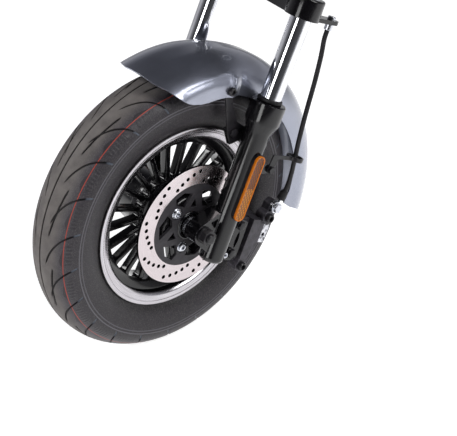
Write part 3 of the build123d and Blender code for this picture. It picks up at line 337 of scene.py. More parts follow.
MATERIALS = {
    "tyre_rubber": tyre_finish(),
    "rubber": soft_finish(
        "rubber", "141316", "1e1c20", (0.45, 0.6), 90, 2500, 0.03, Specular_IOR_Level=0.35
    ),
    "black_alloy": hard_finish(
        "gloss_black_alloy", "0b0a0d", "100f12", "77757e", (0.12, 0.2), 40, 900, 0.004, 0.9,
        Specular_IOR_Level=0.3, Coat_Weight=0.35, Coat_Roughness=0.05,
    ),
    "black_steel": hard_finish(
        "satin_black_steel", "1a191c", "262428", "4a474c", (0.27, 0.36), 50, 1800, 0.01,
        Specular_IOR_Level=0.28, Coat_Weight=0.18, Coat_Roughness=0.2,
    ),
    # the disc's hole walls are painted dark as shade seen through the holes
    "bright_steel": lathed_finish("ground_disc", "c4babc", "dcd3d5", (0.14, 0.26), 9000, 0.006, "17161a"),
    "zinc_steel": hard_finish(
        "zinc_plate", "cfd1d8", "e0e2e8", "ffffff", (0.22, 0.3), 200, 2500, 0.004, 0.4, Metallic=1.0
    ),
    "chrome": hard_finish(
        "hard_chrome", "e6e7ec", "f2f3f6", "ffffff", (0.035, 0.08), 30, 3000, 0.001, 0.4, Metallic=1.0
    ),
    "guard_paint": guard_finish(),
    "reflector_amber": lens_finish(),
    "black_plastic": soft_finish(
        "black_plastic", "18171a", "211f23", (0.36, 0.48), 70, 3500, 0.02, Specular_IOR_Level=0.3
    ),
    "cast_alloy": bracket_finish(),
}
POLISHED = lathed_finish("polished_rim", "b0acb0", "d2cfd4", (0.17, 0.27), 1500, 0.012)
CASTING = hard_finish(
    "caliper_casting", "38363b", "4a474e", "8a8890", (0.36, 0.5), 120, 1400, 0.04, 1.0, Metallic=0.25
)
CARRIER = hard_finish(
    "carrier_black", "2b292d", "353237", "56535a", (0.42, 0.55), 80, 1500, 0.03, 0.5, Metallic=0.3
)


# ---- mesh tools -------------------------------------------------------------------
def smoothed(t):
    t = np.clip(t, 0, 1)
    return t * t * (3 - 2 * t)


def piece(obj, node, material):
    """The object rides with the CAD node it stands for, and hides it."""
    obj.data.materials.clear()
    obj.data.materials.append(material)
    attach(obj, BODY_OF[node])
    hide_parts(node)


def soften(obj, angle=40):
    """Smooth shading, with edges sharper than this left crisp."""
    obj.data.shade_smooth()
    obj.data.set_sharp_from_angle(angle=math.radians(angle))


def linked(name, mesh):
    obj = bpy.data.objects.new(name, mesh)
    bpy.context.scene.collection.objects.link(obj)
    return obj


def grid_object(name, points, close_rows=False, close_columns=True, flip=False):
    """Quads over a grid of points (rows, columns, 3), in metres."""
    rows, columns = points.shape[:2]
    index = np.arange(rows * columns).reshape(rows, columns)
    if close_rows:
        index = np.vstack([index, index[:1]])
    if close_columns:
        index = np.hstack([index, index[:, :1]])
    corners = [index[:-1, :-1], index[:-1, 1:], index[1:, 1:], index[1:, :-1]]
    faces = np.stack(corners[::-1] if flip else corners, axis=-1).reshape(-1, 4)
    mesh = bpy.data.meshes.new(name)
    mesh.from_pydata(points.reshape(-1, 3).tolist(), [], faces.tolist())
    return linked(name, mesh)


def lathe(name, profile, segments=192, place=AXLE, axis=LEFT, closed=True, corners=None):
    """Revolves (along, radius) points in mm; corners says which rows are hexagons."""
    across = axis.orthogonal().normalized()
    other = axis.cross(across)
    turn = np.linspace(0, 2 * math.pi, segments, endpoint=False)
    hexagon = 1 / np.cos((turn + math.pi / 6) % (math.pi / 3) - math.pi / 6)
    points = np.empty((len(profile), segments, 3))
    for row, (along, radius) in enumerate(profile):
        reach = radius * (hexagon if corners and corners[row] else 1) * np.ones(segments)
        ring = np.outer(np.cos(turn) * reach, across) + np.outer(np.sin(turn) * reach, other)
        points[row] = np.array(place) + (ring + along * np.array(axis)) * MM
    return grid_object(name, points, close_rows=closed)


def bevelled(node, width, material=None, angle=30, segments=2):
    """A copy of a CAD node with its edges rounded, standing for it."""
    obj = linked(node + "_detailed", frame["nodes"][node].data.copy())
    mesh = bmesh.new()
    mesh.from_mesh(obj.data)
    bmesh.ops.remove_doubles(mesh, verts=mesh.verts, dist=2e-6)
    bmesh.ops.dissolve_limit(
        mesh, angle_limit=math.radians(0.6), verts=mesh.verts, edges=mesh.edges, delimit={"NORMAL"}
    )
    mesh.to_mesh(obj.data)
    mesh.free()
    for name in ("custom_normal", "sharp_edge", "sharp_face"):
        if name in obj.data.attributes:
            obj.data.attributes.remove(obj.data.attributes[name])
    obj.data.shade_smooth()
    bevel = obj.modifiers.new("edges", "BEVEL")
    bevel.width = width * MM
    bevel.segments = segments
    bevel.limit_method = "ANGLE"
    bevel.angle_limit = math.radians(angle)
    bevel.harden_normals = True
    bevel.use_clamp_overlap = True
    piece(obj, node, material or MATERIALS[SLOT_OF[node]])


# ---- tyre -------------------------------------------------------------------------
TYRE_RADIUS = 216.3
SHOULDER_Y, SHOULDER_RADIUS = 35.5, 202.9
TYRE_HALF_WIDTH, WIDEST_RADIUS = 45, 181.9
CROWN_ARC, SIDE_ARC, FLANK_ARC = 53.72, 27.98, 72.34
CROWN_TURN = math.asin(SHOULDER_Y / CROWN_ARC)
SHOULDER_S = CROWN_ARC * CROWN_TURN
WIDEST_S = SHOULDER_S + SIDE_ARC * (math.pi / 2 - CROWN_TURN)
FOOT_S = WIDEST_S + FLANK_ARC * 0.568
PITCHES = 22
PITCH = 360 / PITCHES
FIRST_GROOVE = 2.2
GROOVE_SWEEP, GROOVE_START, GROOVE_FADE = 17.6, 11.0, 20.0
GROOVE_HALF, FLOOR_HALF = 1.5, 0.8
GROOVE_DEPTH, SLASH_DEPTH, MIDDLE_LINE_DEPTH = 2.4, 2.2, 1.8
RIDGES, RIDGE_HALF, RIDGE_LIFT = (61.5, 66), 0.6, 0.5
GROOVE_SHALLOWS, GROOVE_END = 45, 58            # arc lengths where a groove gets shallow and ends
SLASH_FROM, SLASH_REACH, SLASH_TURN = 13.5, 9.6, 21.1
MIDDLE_LINE_HALF = 1.2
LANES = 6                   # columns between a near groove and a far one


def tyre_skin(s):
    """Place (y, radius) and outward normal (y, radius) at an arc length from the crown."""
    side, s = math.copysign(1, s), abs(s)
    if s <= SHOULDER_S:
        turn = s / CROWN_ARC
        y, r = CROWN_ARC * math.sin(turn), TYRE_RADIUS - CROWN_ARC * (1 - math.cos(turn))
    elif s <= WIDEST_S:
        turn = CROWN_TURN + (s - SHOULDER_S) / SIDE_ARC
        y = SHOULDER_Y + SIDE_ARC * (math.sin(turn) - math.sin(CROWN_TURN))
        r = SHOULDER_RADIUS + SIDE_ARC * (math.cos(turn) - math.cos(CROWN_TURN))
    else:
        turn = math.pi / 2 + (s - WIDEST_S) / FLANK_ARC
        y = TYRE_HALF_WIDTH - FLANK_ARC * (1 - math.sin(turn))
        r = WIDEST_RADIUS + FLANK_ARC * math.cos(turn)
    return side * y, r, side * math.sin(turn), math.cos(turn)


def groove_sweep(s):
    """Degrees that a groove has run forward by this arc length."""
    return GROOVE_SWEEP * (1 - math.exp(-max(abs(s) - GROOVE_START, 0) / GROOVE_FADE))


def tread_columns(s, radius):
    """Angles of the columns from the pitch's start, in degrees."""
    slope = math.radians(GROOVE_SWEEP / GROOVE_FADE) * radius
    slope *= math.exp(-max(abs(s) - GROOVE_START, 0) / GROOVE_FADE)
    slope *= smoothed((abs(s) - 3) / 8)
    taper = 0.35 + 0.65 * smoothed((abs(s) - GROOVE_START) / 4)
    widen = math.sqrt(1 + slope * slope) * taper / math.radians(radius)
    edges = np.array([-GROOVE_HALF, -FLOOR_HALF, FLOOR_HALF, GROOVE_HALF]) * widen
    between = np.linspace(edges[3], PITCH / 2 + edges[0], LANES + 2)[1:-1]
    half = np.concatenate([edges, between])
    return np.concatenate([half, half + PITCH / 2])


def tread_depth(s, angles, radius):
    """Depth in mm of the grooves, slashes and middle line, for a row of columns."""
    far = s < 0
    s = abs(s)
    depth = np.zeros(len(angles))
    start = smoothed((s - GROOVE_START) / 3)
    fade = 1 - 0.79 * smoothed((s - GROOVE_SHALLOWS) / (GROOVE_END - GROOVE_SHALLOWS))
    main = GROOVE_DEPTH * start * fade * (1 - smoothed((s - GROOVE_END) / 2))
    lane = np.arange(len(angles)) % (2 * (LANES + 4)) - (LANES + 4) * far
    depth[(lane == 1) | (lane == 2)] = main
    # slash across every second groove
    first = FIRST_GROOVE + (1.5 * PITCH + PITCH if far else PITCH) - 5
    run = (angles - first) % (2 * PITCH) / SLASH_TURN
    middle = SLASH_FROM + SLASH_REACH * run
    across = 1 - smoothed((abs(s - middle) - 0.9) / 0.6)
    ends = smoothed(run / 0.12) * (1 - smoothed((run - 0.9) / 0.1))
    depth = np.maximum(depth, SLASH_DEPTH * across * ends)
    if s <= MIDDLE_LINE_HALF:
        depth += MIDDLE_LINE_DEPTH
    return depth


def make_tyre():
    outer = [0, 0.7, 1.2, 1.5, 4, 7, 9.5, 11, 11.8, 12.6, 13.4, *np.arange(14, 26.5, 0.75)]
    outer += [28, 30.5, 33, 35.5, 37.8, 39, 41, 43, 45, 48, 51, 54, 57, 58.5, 60, 60.8, 61.2, 61.8, 62.2]
    outer += [63, 64.4, 65.3, 65.7, 66.3, 66.7, 67.6, 71, 75, 80, 86, 92, 98, FOOT_S]
    rows = [-s for s in outer[:0:-1]] + outer
    inside = [(31.65, 140.5), (31.65, 127.05), (22.65, 127.05), (22.65, 136.05)]
    inside += [(36, 168), (36, 182), (22, 202), (0, 207.3)]
    inside += [(-y, r) for y, r in inside[-2::-1]]
    points, grooves, turns, lanes = [], [], [], []
    for s in rows + [FOOT_S] * len(inside):
        own = len(points) < len(rows)
        y, r, out_y, out_r = tyre_skin(s)
        if not own:
            y, r = inside[len(points) - len(rows)]
        unit = tread_columns(s, r)
        start = FIRST_GROOVE + groove_sweep(s)
        angles = np.concatenate([unit + PITCH * k for k in range(PITCHES)]) + start
        depth = tread_depth(s, angles, r) if own else np.zeros(len(angles))
        ridge = max(1 - abs(abs(s) - middle) / RIDGE_HALF for middle in RIDGES)
        lift = RIDGE_LIFT * max(ridge, 0) if own else 0
        a = np.radians(angles)
        radius = r - (depth - lift) * out_r
        sideways = y - (depth - lift) * out_y
        points.append(np.stack([radius * np.cos(a), sideways, radius * np.sin(a)], axis=-1))
        grooves.append(np.minimum(depth / 2, 1) if own else depth)
        turns.append(angles / PITCH)
        swept = (angles - start) / PITCH + (0.5 if s < 0 else 0)
        lanes.append(1 - 2 * abs(swept % 1 - 0.5))
    points = np.array(points) * MM + np.array(AXLE)
    tyre = grid_object("tyre_detailed", points, close_rows=True)
    mesh = tyre.data
    for name, values in (("groove", grooves), ("lane", lanes)):
        layer = mesh.attributes.new(name, "FLOAT", "POINT")
        layer.data.foreach_set("value", np.ravel(values).astype(np.float32))
    corner = np.zeros(len(mesh.loops), np.int32)
    mesh.loops.foreach_get("vertex_index", corner)
    columns = points.shape[1]
    arc = np.repeat(rows + [FOOT_S + 10] * len(inside), columns)
    u, v = np.ravel(turns)[corner], arc[corner]
    last = (corner % columns == 0).reshape(-1, 4)
    wraps = last.any(axis=1) & (corner % columns == columns - 1).reshape(-1, 4).any(axis=1)
    u = u + np.ravel(last & wraps[:, None]) * PITCHES
    tread = np.stack([u, v], axis=-1).astype(np.float32)
    mesh.uv_layers.new(name="tread").data.foreach_set("uv", tread.ravel())
    soften(tyre, 34)
    piece(tyre, "tyre", MATERIALS["tyre_rubber"])


make_tyre()


# ---- wheel ------------------------------------------------------------------------
SPOKES = 21
FIRST_SPOKE = 24.6
SPOKE_HALF, SPOKE_HALF_DEPTH, SPOKE_MIDDLE_Y = 4.25, 7.0, 3
SPOKE_FILLET, SPOKE_FOOT, SPOKE_END = 5, 52, 109


def make_rim():
    """Black barrel with the well inside, and a polished lip on each side with a fine groove."""
    barrel = [
        (14, 113), (19, 127), (31.8, 127), (31.8, 138.4), (33.5, 138.8), (34.4, 138), (34.2, 128),
        (33.2, 126), (31.4, 123), (29.7, 122.4), (22.6, 122.4), (21.4, 121.9), (16.6, 109.6),
        (15.4, 108.6), (14, 108.5),
    ]
    rim = lathe("rim_detailed", barrel + [(-y, r) for y, r in barrel[::-1]], 256)
    soften(rim, 30)
    piece(rim, "alloy_wheel", MATERIALS["black_alloy"])
    lip = [
        (31.7, 136), (31.7, 138.6), (32.2, 139.6), (33, 140), (34.6, 140), (35.3, 139.6), (35.6, 138.8),
        (35.6, 135.2), (35.4, 134.6), (34.8, 134.2), (34.8, 133.8), (35.3, 133.4), (35.3, 132.9),
        (34.9, 131.6), (34.3, 127.5), (33.8, 126.2), (31.8, 123.2), (30.4, 122.2), (29.2, 122.2),
        (29.2, 122.6), (31.2, 123.2), (33.0, 126.2), (34.0, 130), (34.2, 136),
    ]
    for side in (1, -1):
        ring = lathe("rim_lip_" + ("left" if side > 0 else "right"), lip, 256, axis=LEFT * side)
        soften(ring, 30)
        piece(ring, "alloy_wheel", POLISHED)


def make_spokes():
    """Rounded bars from the hub's drum to the rim, with wide filleted feet."""
    around = np.linspace(0, 2 * math.pi, 28, endpoint=False)
    power = 0.36
    section_t = np.sign(np.cos(around)) * np.abs(np.cos(around)) ** power
    section_y = np.sign(np.sin(around)) * np.abs(np.sin(around)) ** power
    stations = [49, 50.5, 52, 52.9, 54, 55.5, 57.5, 60, 80, 100, 104, 106.5, 108.2, 109.8]
    shapes = []
    for spoke in range(SPOKES):
        a = math.radians(FIRST_SPOKE + spoke * 360 / SPOKES)
        out = Vector((math.cos(a), 0, math.sin(a)))
        side = Vector((-math.sin(a), 0, math.cos(a)))
        rows = []
        for r in stations:
            short = max(0, SPOKE_FILLET - min(r - SPOKE_FOOT, SPOKE_END - r))
            flare = SPOKE_FILLET - math.sqrt(max(SPOKE_FILLET**2 - short**2, 0))
            half = SPOKE_HALF + flare
            deep = SPOKE_HALF_DEPTH + 0.25 * flare
            rows.append(
                np.outer(section_t * half, side)
                + np.outer(SPOKE_MIDDLE_Y + section_y * deep, LEFT)
                + np.array(out) * r
            )
        shapes.append(np.array(rows) * MM + np.array(AXLE))
    mesh = bpy.data.meshes.new("spokes_detailed")
    verts, faces = [], []
    for rows in shapes:
        base, (n, m) = len(verts), rows.shape[:2]
        verts += rows.reshape(-1, 3).tolist()
        for i in range(n - 1):
            near, far = base + i * m, base + (i + 1) * m
            for j in range(m):
                after = (j + 1) % m
                faces.append((near + j, far + j, far + after, near + after))
        faces.append(tuple(base + j for j in range(m)))
        faces.append(tuple(base + (n - 1) * m + j for j in range(m))[::-1])
    mesh.from_pydata(verts, [], faces)
    spokes = linked("spokes_detailed", mesh)
    soften(spokes, 45)
    piece(spokes, "alloy_wheel", MATERIALS["black_alloy"])


def make_hub():
    """Drum that the spokes grow from, its necks, and the noses round the spacers."""
    half = [
        (60, 7.05), (60, 14), (56, 14), (56, 21.9), (52.8, 22), (52.8, 41), (51.8, 42.4), (50.4, 43),
        (24, 43), (18, 44.5), (15, 47.5), (14.4, 50.5), (13.4, 52.1), (11.6, 52.5),
    ]
    drum = lathe("hub_detailed", half + [(-y, r) for y, r in half[::-1]], 160)
    soften(drum, 35)
    piece(drum, "alloy_wheel", MATERIALS["black_alloy"])
    for side in (1, -1):
        nose = [(50, 21.9), (58.8, 22), (59.5, 21.7), (59.9, 21), (60, 20), (60, 18.6)]
        nose += [(59.7, 17.8), (59, 17.3), (50, 17.3)]
        ring = lathe("hub_nose_" + ("left" if side > 0 else "right"), nose, 96, axis=LEFT * side)
        soften(ring, 40)
        piece(ring, "alloy_wheel", MATERIALS["black_alloy"])


make_rim()
make_spokes()
make_hub()


# ---- mudguard ---------------------------------------------------------------------
GUARD_MIDDLE = AXLE + Vector((-22, 0, 4)) * MM
GUARD_RADIUS = 238.0
GUARD_FRONT, GUARD_REAR = 75.7, 203.8
# sizes of its section, at the front and further back
GUARD_HALVES, GUARD_FLATS = (68, 58), (10, 6)
CROWN_RADII, CROWN_ENDS = (80, 58), (58, 42)
CHEEK_LOW = 165             # radius that the cheeks reach down to before they are cut
PANEL_DEPTH, PANEL_TOP = 1.5, 219.5
# lower edge: angle up from forward, and radius, about the mudguard's own centre
EDGE_ANGLES, EDGE_RADII = zip(
    (75.7, 236), (76.6, 231.5), (77.9, 225.6), (79.2, 217), (80.6, 209.1), (82.8, 200.3), (85.1, 194.8),
    (89, 189.4), (93.1, 187.3), (98, 187.6), (103, 187.6), (107, 187.3), (112, 186), (120, 184.4),
    (135, 183), (160, 182.4), (180, 182), (190, 177), (197, 170), (199.5, 184), (203.8, 236),
)


def blend(ends, share):
    return ends[0] + (ends[1] - ends[0]) * share


def guard_section(angle):
    """Half of the mudguard's section, as (y, radius) from the crown down to the lower edge."""
    fade = float(smoothed((angle - 106.3) / 6.4))
    narrow = float(smoothed((angle - 94) / 30))
    half, flat = blend(GUARD_HALVES, fade), blend(GUARD_FLATS, narrow)
    crown_arc = blend(CROWN_RADII, narrow)
    crown_y = blend(CROWN_ENDS, narrow) - 6 * fade * (1 - narrow)
    crown_turn = math.asin((crown_y - flat) / crown_arc)
    shoulder = (half - crown_y) / (1 - math.sin(crown_turn))
    line = [(y, GUARD_RADIUS) for y in np.linspace(0, flat, 7)[:-1]]
    for t in np.linspace(0, crown_turn, 19)[:-1]:
        line.append((flat + crown_arc * math.sin(t), GUARD_RADIUS - crown_arc * (1 - math.cos(t))))
    edge_y, edge_r = crown_y, GUARD_RADIUS - crown_arc * (1 - math.cos(crown_turn))
    for t in np.linspace(crown_turn, math.pi / 2, 13):
        line.append((
            edge_y + shoulder * (math.sin(t) - math.sin(crown_turn)),
            edge_r + shoulder * (math.cos(t) - math.cos(crown_turn)),
        ))
    low = float(np.interp(angle, EDGE_ANGLES, EDGE_RADII))
    foot = line[-1][1]
    line += [(half, blend((foot, CHEEK_LOW), t)) for t in np.linspace(0, 1, 30)[1:]]
    # the cheek is let in behind a soft crease, up to the leg's hollow
    panel = float(smoothed((angle - 80) / 4) * (1 - smoothed((angle - 103.5) / 2.5)))
    sunk = PANEL_DEPTH * panel
    line = [(y - sunk * float(smoothed((PANEL_TOP - r) / 4)) * (y > 60), r) for y, r in line]
    # cut at the lower edge, keeping the same number of points
    radii = np.array([r for _, r in line])
    lengths = np.concatenate([[0], np.cumsum(np.hypot(*np.diff(np.array(line), axis=0).T))])
    below = np.nonzero(radii < low)[0]
    last = len(line) - 1 if len(below) == 0 else below[0]
    share = (radii[last - 1] - low) / max(radii[last - 1] - radii[last], 1e-6)
    end = lengths[last - 1] + min(max(share, 0), 1) * (lengths[last] - lengths[last - 1])
    at = np.linspace(0, 1, 64) * end
    sideways = np.interp(at, lengths, [y for y, _ in line])
    return np.stack([sideways, np.interp(at, lengths, radii)], axis=-1)


def make_guard():
    angles = [*np.arange(GUARD_FRONT, 82, 0.35), *np.arange(82, 104, 0.8), *np.arange(104, 114, 0.4)]
    angles += [*np.arange(114, 196, 1.6), *np.arange(196, GUARD_REAR, 0.6), GUARD_REAR]
    rows = []
    for angle in angles:
        half = guard_section(angle)
        whole = np.concatenate([half[:0:-1] * (-1, 1), half])
        a, radius = math.radians(angle), whole[:, 1]
        rows.append(np.stack([radius * math.cos(a), whole[:, 0], radius * math.sin(a)], axis=-1))
    points = np.array(rows) * MM + np.array(GUARD_MIDDLE)
    guard = grid_object("mudguard_detailed", points, close_columns=False)
    shell = guard.modifiers.new("wall", "SOLIDIFY")
    shell.thickness = 2.5 * MM
    shell.offset = -1
    shell.use_even_offset = True
    rim = guard.modifiers.new("rim", "BEVEL")
    rim.width = 1.0 * MM
    rim.segments = 3
    rim.limit_method = "ANGLE"
    rim.angle_limit = math.radians(60)
    soften(guard, 50)
    piece(guard, "front_mudguard", MATERIALS["guard_paint"])


make_guard()


# ---- fasteners --------------------------------------------------------------------
def joined(name, objects):
    """One object from several, already in place."""
    mesh = bmesh.new()
    for obj in objects:
        mesh.from_mesh(obj.data)
    made = bpy.data.meshes.new(name)
    mesh.to_mesh(made)
    mesh.free()
    for obj in objects:
        old = obj.data
        bpy.data.objects.remove(obj)
        bpy.data.meshes.remove(old)
    return linked(name, made)


def socket_head(name, place, axis, radius, height, hole, dome=0.25, shank=None):
    """Head of a socket bolt on its seat, with a hexagonal hole and a shank below."""
    low = height * (1 - dome)
    profile, hexed = [(0, 0.05)], [0]
    if shank:
        profile, hexed = [(-shank[1], 0.05), (-shank[1], shank[0]), (0, shank[0])], [0, 0, 0]
    profile += [(0, radius * 0.96), (0.3, radius), (low, radius)]
    profile += [(low + (height - low) * 0.6, radius * 0.93), (height, radius * 0.8)]
    profile += [(height, hole * 1.12), (height - 0.4, hole), (height * 0.35, hole), (height * 0.35, 0.05)]
    hexed += [0] * 5 + [0, 1, 1, 0]
    return lathe(name, profile, 48, Vector(place), Vector(axis), closed=False, corners=hexed)


def hex_head(name, place, axis, flats, height, shank=None, dome=0.0):
    """Hexagon head with its corners turned off, on its seat, and a shank below."""
    inside = flats / 2
    profile, hexed = [(0, 0.05)], [0]
    if shank:
        profile, hexed = [(-shank[1], 0.05), (-shank[1], shank[0]), (0, shank[0])], [0, 0, 0]
    profile += [(0, inside * 0.97), (0.3, inside), (height - 0.7, inside), (height, inside * 0.93)]
    profile += [(height + dome * 0.7, inside * 0.6), (height + dome, 0.05)]
    hexed += [1, 1, 1, 0, 0, 0]
    return lathe(name, profile, 48, Vector(place), Vector(axis), closed=False, corners=hexed)


DISC_BOLT_CIRCLE, DISC_BOLT_ANGLE, DISC_BOLT_SEAT_Y = 35, 53, 57.7
WASHER = 1.0
GUARD_BOLT_LEAD, GUARD_BOLT_Y, GUARD_BOLT_HEIGHT = -72, 68, 194
CALIPER_LEAD = -92          # the brake's plate, behind the axle
CALIPER_BOLT_Y, CALIPER_PIN_Y = 80, 84
REFLECTOR_LEAD, REFLECTOR_HEIGHT, REFLECTOR_FACE_Y = -37.6, 80.7, 110.0


def wheel_point(radius, angle, y):
    a = math.radians(angle)
    return AXLE + Vector((radius * math.cos(a), y, radius * math.sin(a))) * MM


def fork_point(lead, height, y):
    return AXLE + (AHEAD * lead + UP * height + LEFT * y) * MM


def fasteners(node, objects, slot):
    """Fasteners joined into the one piece that stands for their CAD node."""
    made = joined(node + "_detailed", objects)
    soften(made, 30)
    piece(made, node, MATERIALS[slot])


def make_disc_bolts():
    heads, washers = [], []
    for third in range(3):
        angle = DISC_BOLT_ANGLE + 120 * third
        seat = wheel_point(DISC_BOLT_CIRCLE, angle, DISC_BOLT_SEAT_Y)
        heads.append(socket_head("head", seat, LEFT, 6.2, 3.5, 3.1, 0.3, (4, 3.9)))
        ring = [(0, 4.1), (WASHER, 4.1), (WASHER, 7.5), (0.7, 8), (0.1, 8), (0, 7.8)]
        washers.append(lathe("washer", ring, 48, seat - LEFT * WASHER * MM, LEFT))
    fasteners("disc_bolts", heads + washers, "zinc_steel")


def make_guard_bolts():
    both = []
    for side in (1, -1):
        seat = AXLE + Vector((GUARD_BOLT_LEAD, GUARD_BOLT_Y * side, GUARD_BOLT_HEIGHT)) * MM
        both.append(socket_head("head", seat, LEFT * side, 6.5, 4, 3.3, 0.5, (3.5, 6)))
        both.append(hex_head("nut", seat - LEFT * side * 5.6 * MM, -LEFT * side, 11.2, 3.8))
    fasteners("mudguard_bolts", both, "black_steel")


def make_caliper_pins():
    pins = []
    for lead, height in ((-38, 29), (-17, -50)):
        seat = fork_point(CALIPER_LEAD + lead, height, CALIPER_PIN_Y)
        pins.append(socket_head("pin", seat, LEFT, 7, 7, 3.8, 0.2, (4, 14)))
    fasteners("caliper_pins", pins, "black_steel")


def make_caliper_bolts():
    bolts = []
    for height in (12.7, -31.3):
        place = fork_point(CALIPER_LEAD + 11, height, CALIPER_BOLT_Y)
        bolts.append(hex_head("bolt", place + LEFT * 1.4 * MM, LEFT, 12.1, 4.6, (4, 12), 0.5))
        flange = [(0, 4.1), (1.4, 4.1), (1.4, 6.4), (0.9, 7), (0, 7)]
        bolts.append(lathe("flange", flange, 48, place, LEFT))
    fasteners("caliper_bolts", bolts, "black_steel")


def make_screw():
    seat = fork_point(CALIPER_LEAD + 22, -35, CALIPER_BOLT_Y)
    screw = socket_head("lug_screw_detailed", seat, LEFT, 5, 4, 2.3, 0.5, (2.5, 6))
    soften(screw, 30)
    piece(screw, "lug_screw", MATERIALS["zinc_steel"])


make_disc_bolts()
make_guard_bolts()
make_caliper_pins()
make_caliper_bolts()
make_screw()


# ---- reflectors -------------------------------------------------------------------
def stadium(length, width, count):
    """Outline of a slot, as (across, along) points, from its length and width."""
    radius, run = width / 2, (length - width) / 2
    turn = np.linspace(0, 2 * math.pi, count, endpoint=False) + 2 * math.pi / count / 2
    along = radius * np.sin(turn) + run * np.sign(np.sin(turn))
    return np.stack([radius * np.cos(turn), along], axis=-1)


def make_reflector(side):
    """Lens with a rounded rim and a sunk face."""
    name = ("left" if side > 0 else "right") + "_reflector"
    rings = [(100, 18.5, -4), (100, 18.5, -1), (99.6, 18.1, -0.4), (98.8, 17.3, -0.05)]
    rings += [(98, 16.5, 0), (97.2, 15.7, -0.1), (96.6, 15.1, -0.7), (96, 14.5, -0.8)]
    rows = []
    for length, width, depth in rings:
        outline = stadium(length, width, 72)
        y = side * (REFLECTOR_FACE_Y + depth)
        rows.append([
            fork_point(REFLECTOR_LEAD + across, REFLECTOR_HEIGHT + along, y) for across, along in outline
        ])
    points = np.array(rows)
    lens = grid_object(name + "_detailed", points, flip=side < 0)
    mesh = bmesh.new()
    mesh.from_mesh(lens.data)
    mesh.verts.ensure_lookup_table()
    count = points.shape[1]
    inner = [mesh.verts[i] for i in range(len(mesh.verts) - count, len(mesh.verts))]
    # face: strips across the lens, so that its map has no long triangles
    quarter = count // 4
    for i in range(count // 2 - 1):
        strip = [quarter - 1 - i, quarter - 2 - i, quarter + i + 1, quarter + i]
        strip = [inner[k % count] for k in strip]
        mesh.faces.new(strip if side < 0 else strip[::-1])
    back = [mesh.verts[i] for i in range(count)]
    mesh.faces.new(back if side < 0 else back[::-1])
    bmesh.ops.recalc_face_normals(mesh, faces=mesh.faces)
    mesh.to_mesh(lens.data)
    mesh.free()
    face = lens.data.attributes.new("lens_face", "FLOAT", "POINT")
    values = np.zeros(len(lens.data.vertices), np.float32)
    values[-count:] = 1
    face.data.foreach_set("value", values)
    layer = lens.data.uv_layers.new(name="lens")
    middle = fork_point(REFLECTOR_LEAD, REFLECTOR_HEIGHT, 0)
    for loop in lens.data.loops:
        away = (lens.data.vertices[loop.vertex_index].co - middle) / MM
        layer.data[loop.index].uv = (away.dot(AHEAD), away.dot(UP))
    soften(lens, 50)
    piece(lens, name, MATERIALS["reflector_amber"])


make_reflector(1)
make_reflector(-1)


# ---- carried-over CAD shapes --------------------------------------------------------
OWN_LOOKS = {"caliper_body": CASTING, "disc_carrier": CARRIER}
for node in ("axle", "axle_nut", "hose_clip_bolt", "stay_bolts"):
    OWN_LOOKS[node] = MATERIALS["black_steel"]
for node, width in (
    ("left_lower_leg", 1.0), ("right_lower_leg", 1.0), ("lower_yoke", 1.2), ("caliper_body", 1.1),
    ("caliper_bracket", 0.8), ("disc_carrier", 0.5), ("brake_disc", 0.2), ("left_mudguard_stay", 0.6),
    ("right_mudguard_stay", 0.6), ("left_reflector_base", 0.8), ("right_reflector_base", 0.8),
    ("axle", 0.5), ("axle_nut", 0.7), ("left_axle_spacer", 1.2), ("right_axle_spacer", 1.2),
    ("stem_lock_nut", 0.8), ("stanchion_caps", 0.8), ("stay_bolts", 0.5), ("hose_clip", 0.4),
    ("hose_clip_bolt", 0.5), ("hose_union", 0.7), ("banjo_fitting", 0.5), ("hose_boot", 0.6),
    ("left_dust_seal", 0.5), ("right_dust_seal", 0.5), ("head_tube", 1.0), ("upper_bearing_cup", 0.8),
    ("lower_bearing_cup", 0.8), ("crown_race", 0.5),
):
    bevelled(node, width, OWN_LOOKS.get(node))
for node, obj in frame["nodes"].items():
    obj.data.materials.clear()
    obj.data.materials.append(MATERIALS[SLOT_OF[node]])


# ---- camera, light and floor ------------------------------------------------------
CAMERA_PLACE = Vector((1121.30, 1426.10, 1244.56))     # mm from the axle
CAMERA_AZIMUTH, CAMERA_ELEVATION = 138.8448, 34.8959
CAMERA_LENS, CAMERA_SENSOR = 120.12, 36
LAMP_DISTANCE = 2.4         # metres from the axle
FLOOR_GLOW, FLOOR_FAR_GLOW = 0.75, 0.12
FLOOR_NEAR, FLOOR_FAR = 0.6, 2.2                        # metres from its middle


def look(azimuth, elevation):
    """Direction from the object to an eye at this azimuth and elevation."""
    a, e = math.radians(azimuth), math.radians(elevation)
    return Vector((math.sin(a) * math.cos(e), -math.cos(a) * math.cos(e), math.sin(e)))


def aim(obj, back):
    """Turn an object so that its local +Z points along back, with no roll."""
    right = Vector((0, 0, 1)).cross(back).normalized()
    up = back.cross(right)
    turn = Matrix((right, up, back)).transposed().to_4x4()
    obj.matrix_world = Matrix.Translation(obj.location) @ turn


def make_camera():
    camera = bpy.data.objects.new("camera", bpy.data.cameras.new("camera"))
    bpy.context.scene.collection.objects.link(camera)
    camera.data.lens = CAMERA_LENS
    camera.data.sensor_width = CAMERA_SENSOR
    camera.data.clip_end = 100
    camera.location = AXLE + CAMERA_PLACE * MM
    aim(camera, look(CAMERA_AZIMUTH, CAMERA_ELEVATION))
    bpy.context.scene.camera = camera


def area_light(name, azimuth, elevation, size, power):
    light = bpy.data.lights.new(name, "AREA")
    light.shape = "RECTANGLE"
    light.size, light.size_y = size
    light.energy = power
    lamp = bpy.data.objects.new(name, light)
    bpy.context.scene.collection.objects.link(lamp)
    back = look(azimuth, elevation)
    lamp.location = AXLE + back * LAMP_DISTANCE
    aim(lamp, back)


def node_maker(tree):
    """A short way to add nodes to the tree of the world or the floor."""

    def node(kind, **values):
        made = tree.nodes.new("ShaderNode" + kind)
        for name, value in values.items():
            setattr(made, name, value)
        return made

    return node


